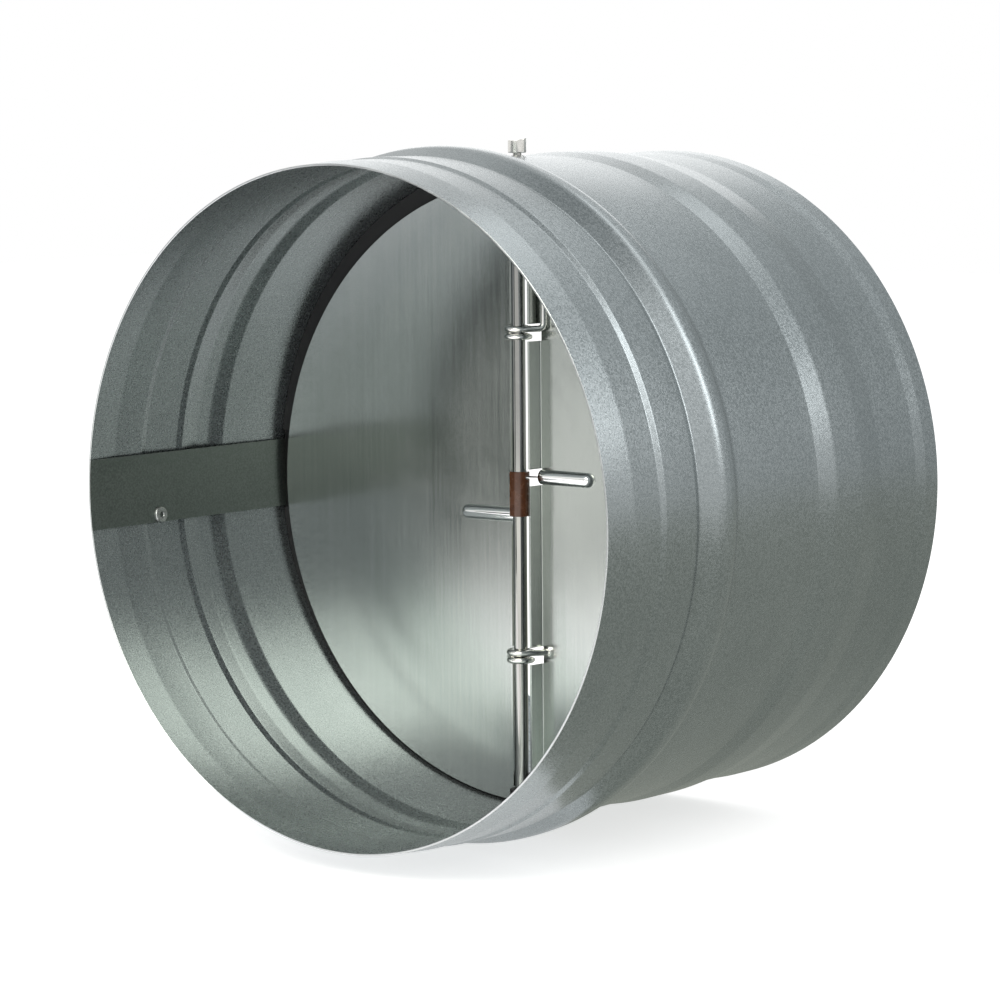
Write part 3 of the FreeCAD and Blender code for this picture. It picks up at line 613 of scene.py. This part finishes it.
def moulded(name, dark, light, rough_low, rough_high, coat=0.0):
    """Rubber or plastic with a faint skin texture."""
    material, tree, shader = new_finish(name, Metallic=0.0, Coat_Weight=coat, Coat_Roughness=0.12)
    smudge = place_group(tree, "marks", Scale=420.0).outputs["Smudge"]
    colour = blend_colours(tree, smudge, dark, light)
    paint(tree, shader, colour, spread(tree, smudge, 0.0, 1.0, rough_low, rough_high))
    bump_into(tree, shader, smudge, 0.15, 0.00004)
    return material


CASING_ZINC = galvanised_sheet("casing_zinc", (0.235, 0.263, 0.27), (0.335, 0.367, 0.377), 0.24, 0.34)
STRIP_ZINC = galvanised_sheet("strip_zinc", (0.12, 0.143, 0.13), (0.20, 0.228, 0.212), 0.30, 0.42)
RIVET_STEEL = galvanised_sheet("rivet_steel", (0.28, 0.30, 0.29), (0.50, 0.52, 0.51), 0.30, 0.42, 0.1)
CUT_EDGE = drawn_metal("cut_edge", (0.42, 0.44, 0.44), (0.58, 0.60, 0.60), 0.30, 0.42)
BLADE_ALUMINIUM = brushed_sheet(
    "blade_aluminium", (0.365, 0.39, 0.368), (0.43, 0.452, 0.432), 0.15, 0.19, 0.3)
SHAFT_STEEL = drawn_metal("shaft_steel", (0.30, 0.30, 0.285), (0.38, 0.38, 0.36), 0.07, 0.11)
CAP_METAL = drawn_metal("cap_metal", (0.60, 0.59, 0.56), (0.78, 0.77, 0.74), 0.24, 0.36)
WIRE_POLISHED = drawn_metal("wire_polished", (0.66, 0.66, 0.62), (0.82, 0.82, 0.78), 0.07, 0.14)
KEEPER_POLISHED = drawn_metal("keeper_polished", (0.70, 0.71, 0.69), (0.86, 0.87, 0.85), 0.06, 0.12)
SPRING_STEEL = drawn_metal("spring_steel", (0.46, 0.45, 0.42), (0.62, 0.61, 0.58), 0.20, 0.30)
SEAL_RUBBER = moulded("seal_rubber", (0.006, 0.006, 0.007), (0.016, 0.017, 0.017), 0.62, 0.80)
BUSH_RUBBER = moulded("bush_rubber", (0.006, 0.006, 0.006), (0.015, 0.015, 0.015), 0.45, 0.62)
SLEEVE_BROWN = moulded("sleeve_brown", (0.085, 0.029, 0.011), (0.11, 0.039, 0.015), 0.22, 0.30, 0.15)


# Duct section


def casing_line(bead_rise):
    """One face of the rolled sheet from outlet to inlet, as (along, rise, bend radius)."""
    swage = OUTLET + SWAGE_START
    bead = OUTLET + BEAD_START
    crest_end = bead + BEAD_RISE + BEAD_CREST
    foot = crest_end + BEAD_FALL
    rib = INLET - RIB_START
    rib_top = rib - RIB_FALL - RIB_TOP
    rib_foot = rib_top - RIB_RISE
    collar = INLET - COLLAR_LENGTH
    low = -BARREL_SINK
    high = RIB_HEIGHT - BARREL_SINK
    return [
        (OUTLET, -RIM_TAPER, 0),
        (OUTLET + RIM_TAPER_LENGTH, 0.0, RIM_BEND),
        (swage, 0.0, SWAGE_BEND),
        (swage + SWAGE_STEP, SWAGE_HEIGHT, SWAGE_BEND),
        (bead - SWAGE_STEP, SWAGE_HEIGHT, SWAGE_BEND),
        (bead, 0.0, SWAGE_BEND),
        (bead + BEAD_RISE, bead_rise, BEAD_BEND),
        (crest_end, bead_rise, BEAD_BEND),
        (foot, 0.0, FOOT_BEND),
        (foot + BARREL_SHOULDER, 0.0, BARREL_BEND),
        (rib_foot - BARREL_FLAT, low, BARREL_BEND),
        (rib_foot, low, FOOT_BEND),
        (rib_top, high, BARREL_BEND),
        (rib - RIB_FALL, high, BARREL_BEND),
        (rib, low, BARREL_BEND),
        (collar - COLLAR_SLOPE, low, COLLAR_FOOT_BEND),
        (collar, 0.0, COLLAR_BEND),
        (INLET, 0.0, 0),
    ]


def sheet_outline(outer_line, inner_line, outside, sheet):
    """Closed outline of a sheet between two lines of (along, rise) points, its cut edges eased."""
    outer = [(outside + rise, along) for along, rise in outer_line]
    inner = [(outside + rise - sheet, along) for along, rise in reversed(inner_line)]
    ease = EDGE_ROUND
    first, last = outer[0], outer[-1]
    outer[0] = (first[0], first[1] + ease)
    outer[-1] = (last[0], last[1] - ease)
    inner[0] = (inner[0][0], inner[0][1] - ease)
    inner[-1] = (inner[-1][0], inner[-1][1] + ease)
    far = [(last[0] - ease, last[1]), (last[0] - sheet + ease, last[1])]
    near = [(first[0] - sheet + ease, first[1]), (first[0] - ease, first[1])]
    return outer + far + inner + near


def mark_cut_edges(obj, low, high):
    """Gives the second material to the sheet's cut edges at its two ends along the duct."""
    for polygon in obj.data.polygons:
        along = polygon.center.y / MM
        at_end = along < low + EDGE_ROUND or along > high - EDGE_ROUND
        if abs(polygon.normal.y) > 0.5 and at_end:
            polygon.material_index = 1


def make_casing():
    """Rolled duct section with its swage, bead and rib, and a butt joint on the left."""
    outer = rounded_line(casing_line(BEAD_HEIGHT), 8)
    inner = rounded_line(casing_line(BEAD_GROOVE), 8)
    outline = sheet_outline(outer, inner, SPIGOT_RADIUS, WALL)
    gap = JOINT_GAP / SPIGOT_RADIUS
    work = turn_outline(outline, 270, math.pi + gap / 2, TAU - gap)
    obj = mesh_from("duct_casing", work, along_duct(), 30.0)
    mark_cut_edges(obj, OUTLET, INLET)
    piece("duct_casing", "duct", "casing", [CASING_ZINC, CUT_EDGE])


def make_seam_strip():
    """Flat strip over the butt joint, inside the duct."""
    low, high = frame_box("seam_strip")
    line = [Vector((low.y, 0)), Vector((high.y, 0))]
    outline = sheet_outline(line, line, STRIP_OUTSIDE, STRIP_SHEET)
    work = turn_outline(outline, 24, STRIP_FROM, STRIP_TO - STRIP_FROM)
    obj = mesh_from("joint_strip", work, along_duct(), 30.0)
    mark_cut_edges(obj, low.y, high.y)
    piece("joint_strip", "duct", "seam_strip", [STRIP_ZINC, CUT_EDGE])


def make_seam_rivet(node, along):
    """Hollow rivet with a rounded head on each side of the sheets."""
    seat = STRIP_INSIDE - RUNNING
    wall = SPIGOT_RADIUS + (SWAGE_HEIGHT if along < 0 else -BARREL_SINK) + RUNNING
    mouth = RIVET_BORE + 0.2
    lead = 0.25
    crown = 0.55
    low = seat - RIVET_HEIGHT
    high = wall + RIVET_HEIGHT
    corners = [
        (RIVET_BORE, low + lead, 0), (mouth, low, 0.2), (RIVET_HEAD, low, crown),
        (RIVET_HEAD, seat, 0.1), (RIVET_SHANK, seat, 0), (RIVET_SHANK, wall, 0), (RIVET_HEAD, wall, 0.1),
        (RIVET_HEAD, high, crown), (mouth, high, 0.2), (RIVET_BORE, high - lead, 0)]
    outline = [(p.x, p.y) for p in rounded_line(corners, 5)]
    way = Vector((math.cos(RIVET_ANGLE), 0, math.sin(RIVET_ANGLE)))
    aim = Vector((0, 0, 1)).rotation_difference(way).to_matrix().to_4x4()
    mesh_from(node + "_turned", turn_outline(outline, 40), Matrix.Translation((0, along, 0)) @ aim)
    piece(node + "_turned", "duct", node, [RIVET_STEEL])


def make_seal_ring():
    """Black rubber ring behind the blades, folded like the closed blades."""
    outside = BARREL_RADIUS - WALL - RUNNING
    lip = 0.35
    corners = [
        (SEAL_INSIDE, 0.0, 0), (SEAL_INSIDE, SEAL_DEPTH, lip), (outside, SEAL_DEPTH, 0),
        (outside, 0.0, 0), (SEAL_INSIDE, 0.0, 0)]
    outline = [(p.x, p.y) for p in rounded_line(corners, 4)][:-1]
    work = turn_outline(outline, 240)
    bmesh.ops.transform(work, matrix=along_duct(), verts=work.verts)
    for vert in work.verts:
        fold = abs(vert.co.x) * math.sin(REST_ANGLE)
        vert.co.y += HINGE_Y + PLATE_BACK + SEAT_GAP - fold
    obj = mesh_from("seal_ring_rubber", work)
    reach = STRIP_INSIDE * math.cos(STRIP_TO) + RUNNING
    half = SPIGOT_RADIUS * math.sin(STRIP_TO - math.pi)
    outer_side, before, behind = -120.0, -10.0, 30.0
    cut_with(obj, box_cutter((outer_side, before, -half), (reach, behind, half)))
    piece("seal_ring_rubber", "duct", "seal_ring", [SEAL_RUBBER])


# Shaft, cap and bushes


def stand_at_hinge():
    """Place of what is turned about the shaft's own axis."""
    return Matrix.Translation((0, HINGE_Y, 0))


def make_shaft():
    """Round shaft, chamfered below, with a thin neck under the cap."""
    neck_top = CAP_HIGH.z - CAP_OVER_NECK
    corners = [
        (0.0, SHAFT_FOOT, 0), (SHAFT_RADIUS - SHAFT_CHAMFER, SHAFT_FOOT, 0.3),
        (SHAFT_RADIUS, SHAFT_FOOT + SHAFT_CHAMFER, 0.4), (SHAFT_RADIUS, SHOULDER, 0.2),
        (NECK_RADIUS, SHOULDER, 0), (NECK_RADIUS, neck_top, 0), (0.0, neck_top, 0)]
    outline = [(p.x, p.y) for p in rounded_line(corners, 4)]
    mesh_from("hinge_shaft", turn_outline(outline, 48), stand_at_hinge())
    piece("hinge_shaft", "duct", "shaft", [SHAFT_STEEL])


def make_cap():
    """Round cap, its top cut on the slant."""
    radius = (CAP_HIGH.x - CAP_LOW.x) / 2
    bore = NECK_RADIUS + RUNNING / 2
    hole_top = CAP_LOW.z + CAP_HOLE
    corners = [
        (bore, hole_top, 0), (bore, CAP_LOW.z, 0.1), (radius, CAP_LOW.z, 0.3),
        (radius, CAP_HIGH.z, 0), (0.0, CAP_HIGH.z, 0), (0.0, hole_top, 0)]
    outline = [(p.x, p.y) for p in rounded_line(corners, 4)]
    work = turn_outline(outline, 48)
    for vert in work.verts:
        if vert.co.z > CAP_HIGH.z - CAP_SLANT / 2:
            vert.co.z -= CAP_SLANT * (radius - vert.co.y) / (2 * radius)
    obj = mesh_from("shaft_end_cap", work, stand_at_hinge())
    round_edges(obj, 0.2)
    piece("shaft_end_cap", "duct", "shaft_cap", [CAP_METAL])


def make_bush(node, way):
    """Flanged black bush in the casing wall, above or below."""
    flange = frame_box(node)[1].x
    seat = BARREL_RADIUS - WALL - RUNNING * 3
    bore = SHAFT_RADIUS + RUNNING
    corners = [
        (bore, BUSH_TIP, 0), (flange, BUSH_TIP, 0.4), (flange, seat, 0.2),
        (BUSH_SPIGOT, seat, 0), (BUSH_SPIGOT, BARREL_RADIUS, 0.1), (bore, BARREL_RADIUS, 0)]
    outline = [(p.x, way * p.y) for p in rounded_line(corners, 4)]
    mesh_from(node + "_moulded", turn_outline(outline, 48), stand_at_hinge())
    piece(node + "_moulded", "duct", node, [BUSH_RUBBER])


# Blades


def half_disc_outline():
    """Half disc of one blade in u and z, from the top of its straight edge round to the bottom."""
    half_chord = math.sqrt(BLADE_RADIUS ** 2 - PLATE_EDGE ** 2)
    lean = math.atan2(half_chord, PLATE_EDGE)
    steps = 120
    points = []
    for k in range(steps + 1):
        angle = lean - 2 * lean * k / steps
        points.append((BLADE_RADIUS * math.cos(angle), BLADE_RADIUS * math.sin(angle) - BLADE_DROP))
    return points


def blade_plate():
    """Flat plate of a blade with an eased edge."""
    outline = half_disc_outline()
    work = bmesh.new()
    rows = []
    ease = 0.1
    middle = Vector((BLADE_RADIUS / 2, 0, -BLADE_DROP))
    layers = ((SETBACK, ease), (SETBACK + ease, 0.0), (PLATE_BACK - ease, 0.0), (PLATE_BACK, ease))
    for depth, pull in layers:
        row = []
        for u, z in outline:
            flat = Vector((u, 0, z))
            shrink = (middle - flat).normalized() * pull
            row.append(work.verts.new((u + shrink.x, depth, z + shrink.z)))
        rows.append(row)
    for one, two in zip(rows, rows[1:]):
        for i in range(len(one)):
            j = (i + 1) % len(one)
            work.faces.new((one[i], one[j], two[j], two[i]))
    work.faces.new(rows[0])
    work.faces.new(rows[-1])
    return work


def flange_stretch(low, high):
    """Stretch of the flange along the shaft between two notches, bent out of the plate."""
    skin = 0.01
    front = SETBACK + skin
    back = PLATE_BACK - skin
    lap_end = PLATE_EDGE + BEND_LAP
    corners = [
        (FLANGE_GAP, FLANGE_EDGE, 0), (FLANGE_GAP, back, BLADE_SHEET + BEND), (lap_end, back, 0),
        (lap_end, front, 0), (FLANGE_GAP + BLADE_SHEET, front, BEND),
        (FLANGE_GAP + BLADE_SHEET, FLANGE_EDGE, 0)]
    outline = [(p.x, p.y) for p in rounded_line(corners, 6)]
    return straight_prism(outline, low, high)


def make_blade(node, side):
    """Half-round blade with its flange, notched for the clips and the spring leg's keeper."""
    low = -BUSH_TIP + SEAT_GAP
    high = low + (BUSH_TIP - BLADE_DROP - SEAT_GAP) * 2
    keeper = RIGHT_LEG if side == RIGHT else LEFT_KEEPER
    notches = [
        (LOWER_CLIP - CLIP_NOTCH, LOWER_CLIP + CLIP_NOTCH),
        (keeper - KEEPER_NOTCH, keeper + KEEPER_NOTCH),
        (UPPER_CLIP - CLIP_NOTCH, UPPER_CLIP + CLIP_NOTCH)]
    edges = [low] + [z for notch in notches for z in notch] + [high]
    works = [blade_plate()]
    for i in range(0, len(edges), 2):
        works.append(flange_stretch(edges[i], edges[i + 1]))
    obj = mesh_from(node + "_sheet", join_works(works), at_hinge(side), 30.0)
    round_edges(obj, 0.08)
    piece(node + "_sheet", leaf(side), node, [BLADE_ALUMINIUM])


# Clips


def clip_route(strand, has_tail):
    """Middle line of a clip's wire: eye round the shaft, tangent tail and foot."""
    deep = SETBACK - CLIP_WIRE - (RUNNING if has_tail else CLIP_FOOT_BEND)
    foot = Vector((CLIP_FOOT, deep, strand))
    reach = math.hypot(foot.x, foot.y)
    leave = math.degrees(math.atan2(foot.y, foot.x) - math.acos(CLIP_RING / reach))
    wire_end = 40.0
    route = arc_points(CLIP_RING, wire_end, 360.0 + leave, strand, 44)
    heading = (foot - route[-1]).normalized()
    way_out = Vector((0, 0, 1)) if has_tail else Vector((0, 1, 0))
    route += corner_points(foot, heading, way_out, CLIP_FOOT_BEND)
    if has_tail:
        route.append(Vector((foot.x, foot.y, CLIP_TAIL_TOP)))
    else:
        route.append(Vector((foot.x, PLATE_BACK + CLIP_WIRE / 2 - 0.2, strand)))
    return route


def make_clip(node, side, strand, has_tail=False):
    """Polished wire clip that carries a blade on the shaft."""
    works = [wire_work(clip_route(strand, has_tail), CLIP_WIRE, 24)]
    if not has_tail:
        face = SETBACK - CLIP_COLLAR_HEIGHT
        collar = [
            (0.0, face), (CLIP_COLLAR_RADIUS - CLIP_COLLAR_BEVEL, face),
            (CLIP_COLLAR_RADIUS, face + CLIP_COLLAR_BEVEL), (CLIP_COLLAR_RADIUS, SETBACK), (0.0, SETBACK)]
        ring = turn_outline(collar, 24)
        seat = Matrix.Translation((CLIP_FOOT, 0, strand)) @ Matrix(
            ((1, 0, 0, 0), (0, 0, 1, 0), (0, -1, 0, 0), (0, 0, 0, 1)))
        bmesh.ops.transform(ring, matrix=seat, verts=ring.verts)
        works.append(ring)
    mesh_from(node + "_wire", join_works(works), at_hinge(side), 40.0)
    piece(node + "_wire", leaf(side), node, [WIRE_POLISHED])


# Spring, sleeve and keepers


def make_sleeve():
    """Brown tube over the spring, with a window for each leg."""
    inner = SLEEVE_RADIUS - SLEEVE_WALL
    bore = SHAFT_RADIUS + RUNNING
    ceiling = SLEEVE_TOP - SLEEVE_END
    corners = [
        (inner, SLEEVE_FOOT, 0), (SLEEVE_RADIUS, SLEEVE_FOOT, 0.08), (SLEEVE_RADIUS, SLEEVE_TOP, 0.15),
        (bore, SLEEVE_TOP, 0.1), (bore, ceiling, 0), (inner, ceiling, 0)]
    outline = [(p.x, p.y) for p in rounded_line(corners, 4)]
    work = turn_outline(outline, 72)
    middle = (FACET_FROM + FACET_TO) / 2
    flat = SLEEVE_RADIUS * math.cos((FACET_TO - FACET_FROM) / 2)
    skin = 0.2
    for vert in work.verts:
        angle = math.atan2(vert.co.y, vert.co.x)
        if FACET_FROM <= angle <= FACET_TO and vert.co.xy.length > SLEEVE_RADIUS - skin:
            vert.co.xy = vert.co.xy.normalized() * flat / math.cos(angle - middle)
    obj = mesh_from("spring_cover", work, stand_at_hinge(), SLEEVE_CREASE)
    reach = SLEEVE_RADIUS * 1.5
    near = HINGE_Y - SLEEVE_RADIUS / 4
    far = HINGE_Y + reach
    cut_with(
        obj,
        box_cutter((0.0, near, RIGHT_LEG - WINDOW_HALF), (reach, far, RIGHT_LEG + WINDOW_HALF)),
        box_cutter((-reach, near, LEFT_LEG - WINDOW_HALF), (0.0, far, LEFT_LEG + WINDOW_HALF)))
    obj.data.set_sharp_from_angle(angle=math.radians(SLEEVE_CREASE))
    piece("spring_cover", "duct", "spring_sleeve", [SLEEVE_BROWN])


def make_spring():
    """Torsion spring: its coil stays with the shaft, and each leg moves with its blade."""
    slope = LEG_SLOPE - REST_ANGLE
    turn = SPRING_TURNS * TAU - 2 * slope
    steps = 240
    coil = []
    for k in range(steps + 1):
        angle = math.pi / 2 - slope - turn * k / steps
        height = LEFT_LEG + (RIGHT_LEG - LEFT_LEG) * k / steps
        coil.append(Vector((SPRING_COIL * math.cos(angle), SPRING_COIL * math.sin(angle), height)))
    mesh_from("spring_coil", wire_work(coil, SPRING_WIRE, 10), stand_at_hinge())
    piece("spring_coil", "duct", "torsion_spring", [SPRING_STEEL])
    straight = SETBACK - LEG_GAP - SPRING_WIRE
    legs = (("right_spring_leg", RIGHT, RIGHT_LEG), ("left_spring_leg", LEFT, LEFT_LEG))
    for name, side, height in legs:
        root = Vector((-SPRING_COIL * math.sin(LEG_SLOPE), SPRING_COIL * math.cos(LEG_SLOPE), height))
        knee = Vector(((straight - root.y) / math.tan(LEG_SLOPE) + root.x, straight, height))
        tip = Vector((LEG_REACH, straight, height))
        way = (knee - root).normalized()
        route = [root] + corner_points(knee, way, Vector((1, 0, 0)), SPRING_KNEE) + [tip]
        mesh_from(name, wire_work(route, SPRING_WIRE, 12), at_hinge(side))
        piece(name, leaf(side), "torsion_spring", [SPRING_STEEL])


def make_keeper(node, side, height):
    """Polished half-round cover over a spring leg, with a rounded end."""
    inner = KEEPER_RADIUS - KEEPER_WALL
    crown = KEEPER_END - KEEPER_RADIUS
    ease = 0.1
    dome = [math.radians(a) for a in range(0, 91, 10)]
    outer = [(KEEPER_RADIUS, KEEPER_START + ease)]
    outer += [(KEEPER_RADIUS * math.cos(a), crown + KEEPER_RADIUS * math.sin(a)) for a in dome]
    hollow = [(inner * math.cos(a), crown + inner * math.sin(a)) for a in reversed(dome)]
    hollow += [
        (inner, KEEPER_START + ease), (inner + ease, KEEPER_START), (KEEPER_RADIUS - ease, KEEPER_START)]
    work = turn_outline(outer + hollow, 32, math.pi, math.pi)
    lay = Matrix(((0, 0, 1, 0), (0, 1, 0, SETBACK), (1, 0, 0, height), (0, 0, 0, 1)))
    bmesh.ops.transform(work, matrix=lay, verts=work.verts)
    back = KEEPER_RADIUS * 0.9
    dimple = Vector((KEEPER_END - back, SETBACK - back, height - KEEPER_RADIUS * 0.2))
    for vert in work.verts:
        near = (vert.co - dimple).length
        if near < DIMPLE_RADIUS:
            vert.co.y += DIMPLE_DEPTH * (1 - near / DIMPLE_RADIUS)
    mesh_from(node + "_cover", work, at_hinge(side), 40.0)
    piece(node + "_cover", leaf(side), node, [KEEPER_POLISHED])


# Studio


def white_for_eyes(tree, white, lit):
    """Mix that shows the white shader to camera, glossy and transmission rays, and lights by the other."""
    path = add_node(tree, "ShaderNodeLightPath")
    seen = sums(tree, "MAXIMUM", path.outputs["Is Camera Ray"], path.outputs["Is Glossy Ray"])
    seen = sums(tree, "MAXIMUM", seen, path.outputs["Is Transmission Ray"])
    return add_node(tree, "ShaderNodeMixShader", {0: seen, 1: lit, 2: white}).outputs[0]


def flat_sheet(name, wide, tall, level=0.0):
    """Level rectangle about the origin, in metres."""
    corners = ((-wide, -tall), (wide, -tall), (wide, tall), (-wide, tall))
    work = bmesh.new()
    work.faces.new([work.verts.new((x / 2, y / 2, level)) for x, y in corners])
    mesh = bpy.data.meshes.new(name)
    work.to_mesh(mesh)
    work.free()
    sheet = bpy.data.objects.new(name, mesh)
    bpy.context.scene.collection.objects.link(sheet)
    return sheet


def bare_finish(name, obj):
    """Node tree of a new material on an object, still without a shader."""
    material = bpy.data.materials.new(name)
    material.use_nodes = True
    material.node_tree.nodes.clear()
    obj.data.materials.append(material)
    return material.node_tree


def make_world():
    """White surround to the eye and in metal, softer as a light."""
    world = bpy.data.worlds.new("studio")
    bpy.context.scene.world = world
    world.use_nodes = True
    tree = world.node_tree
    tree.nodes.clear()
    white = add_node(tree, "ShaderNodeBackground", Color=(1, 1, 1, 1), Strength=1.0)
    soft = add_node(tree, "ShaderNodeBackground", Color=(1, 1, 1, 1), Strength=0.55)
    surround = white_for_eyes(tree, white.outputs[0], soft.outputs[0])
    add_node(tree, "ShaderNodeOutputWorld", {"Surface": surround})


def make_floor():
    """Pale floor that keeps the object's shadow."""
    size = 6.0
    floor = flat_sheet("floor", size, size, cad_box[0][2] - 0.0005)
    tree = bare_finish("floor_paper", floor)
    paper = add_node(tree, "ShaderNodeBsdfDiffuse", Color=(0.9, 0.9, 0.9, 1))
    glow = add_node(tree, "ShaderNodeEmission", Color=(1, 1, 1, 1), Strength=0.62)
    both = add_node(tree, "ShaderNodeAddShader", {0: paper.outputs[0], 1: glow.outputs[0]})
    surface = white_for_eyes(tree, both.outputs[0], paper.outputs[0])
    add_node(tree, "ShaderNodeOutputMaterial", {"Surface": surface})


def soft_lamp(name, place, aim, size, power, colour=(1, 1, 1)):
    """Large soft lamp that looks at a point."""
    data = bpy.data.lights.new(name, "AREA")
    data.shape = "RECTANGLE"
    data.size, data.size_y = size
    data.energy = power
    data.color = colour
    lamp = bpy.data.objects.new(name, data)
    bpy.context.scene.collection.objects.link(lamp)
    lamp.location = place
    lamp.rotation_euler = (Vector(aim) - Vector(place)).to_track_quat("-Z", "Y").to_euler()


def hidden_card(name, matrix, size, shade):
    """Card out of view that only reflections show."""
    card = flat_sheet(name, *size)
    card.matrix_world = matrix
    tree = bare_finish(name + "_paint", card)
    glow = add_node(tree, "ShaderNodeEmission", Color=(*shade, 1), Strength=1.0)
    add_node(tree, "ShaderNodeOutputMaterial", {"Surface": glow.outputs[0]})
    card.visible_camera = False
    card.visible_diffuse = False
    card.visible_shadow = False
    card.visible_transmission = False


def grey_card(name, turn, lift, distance, size, shade):
    """Card that faces the object from a turn about Z and a lift above the floor, in degrees."""
    way = Vector((
        math.cos(math.radians(turn)) * math.cos(math.radians(lift)),
        math.sin(math.radians(turn)) * math.cos(math.radians(lift)),
        math.sin(math.radians(lift))))
    facing = (-way).to_track_quat("Z", "Y").to_matrix().to_4x4()
    hidden_card(name, Matrix.Translation(way * distance) @ facing, size, shade)


def floor_card(name, turn, distance, size, shade):
    """Card that lies on the floor, at a turn about Z in degrees, its length pointing away."""
    level = Matrix.Translation((distance, 0, cad_box[0][2] - 0.0002))
    hidden_card(name, Matrix.Rotation(math.radians(turn), 4, "Z") @ level, size, shade)


def make_camera():
    """Camera at the photograph's angle, with its small tilt and aim."""
    turn, lift, tilt = (math.radians(a) for a in (39.2, 6.03, -0.48))
    distance = 1.127
    aim_right, aim_up = -0.0032, -0.0033
    back = Vector((math.sin(turn) * math.cos(lift), -math.cos(turn) * math.cos(lift), math.sin(lift)))
    right = (-back).cross(Vector((0, 0, 1))).normalized()
    up = right.cross(-back)
    look = (-back + right * aim_right + up * aim_up).normalized()
    side = look.cross(Vector((0, 0, 1))).normalized()
    top = side.cross(look)
    right = side * math.cos(tilt) + top * math.sin(tilt)
    up = -side * math.sin(tilt) + top * math.cos(tilt)
    data = bpy.data.cameras.new("camera")
    data.sensor_width = 36.0
    data.lens = 134.93
    camera = bpy.data.objects.new("camera", data)
    bpy.context.scene.collection.objects.link(camera)
    axes = Matrix((right, up, -look)).transposed().to_4x4()
    camera.matrix_world = Matrix.Translation(back * distance) @ axes
    bpy.context.scene.camera = camera


def make_studio():
    """World, floor, lamps and camera."""
    make_world()
    make_floor()
    soft_lamp("side_softbox", (1.07, 0.62, 0.72), (0, 0, 0), (0.28, 0.9), 4.2)
    soft_lamp(
        "duct_light", (0.30, -1.15, 1.05), (-0.05, 0, -0.05), (1.0, 1.0), 17.0, (1.0, 0.985, 0.90))
    grey_card("rear_card", 75.0, 9.0, 1.6, (1.75, 1.35), (0.48, 0.51, 0.515))
    grey_card("rear_upper_card", 75.0, 39.0, 1.6, (1.9, 0.42), (0.66, 0.69, 0.70))
    grey_card("top_card", 45.0, 87.0, 1.5, (1.5, 1.3), (0.46, 0.48, 0.49))
    grey_card("crest_glow", 72.0, 53.0, 1.6, (1.3, 0.24), (2.6, 2.6, 2.6))
    grey_card("rear_left_glow", 122.0, 12.0, 1.6, (0.8, 1.0), (1.8, 1.8, 1.8))
    grey_card("front_card", 239.0, 3.0, 1.6, (0.42, 0.55), (0.07, 0.082, 0.08))
    floor_card("front_floor_card", 239.0, 1.10, (1.0, 0.27), (0.08, 0.095, 0.09))
    floor_card("front_floor_glow", 230.0, 0.29, (0.36, 0.34), (2.2, 2.13, 2.2))
    floor_card("rear_floor_card", 54.5, 0.86, (1.7, 1.7), (0.40, 0.42, 0.37))
    make_camera()
    bpy.context.scene.view_settings.view_transform = "Standard"


make_casing()
make_seam_strip()
for rivet, along in RIVET_PLACES.items():
    make_seam_rivet(rivet, along)
make_seal_ring()
make_shaft()
make_cap()
make_bush("upper_bush", 1)
make_bush("lower_bush", -1)
make_sleeve()
make_spring()
make_blade("right_blade", RIGHT)
make_blade("left_blade", LEFT)
make_clip("right_upper_clip", RIGHT, UPPER_CLIP + CLIP_PITCH / 2, has_tail=True)
make_clip("left_upper_clip", LEFT, UPPER_CLIP - CLIP_PITCH / 2)
make_clip("right_lower_clip", RIGHT, LOWER_CLIP + CLIP_PITCH / 2)
make_clip("left_lower_clip", LEFT, LOWER_CLIP - CLIP_PITCH / 2)
make_keeper("right_leg_keeper", RIGHT, RIGHT_LEG)
make_keeper("left_leg_keeper", LEFT, LEFT_KEEPER)
make_studio()
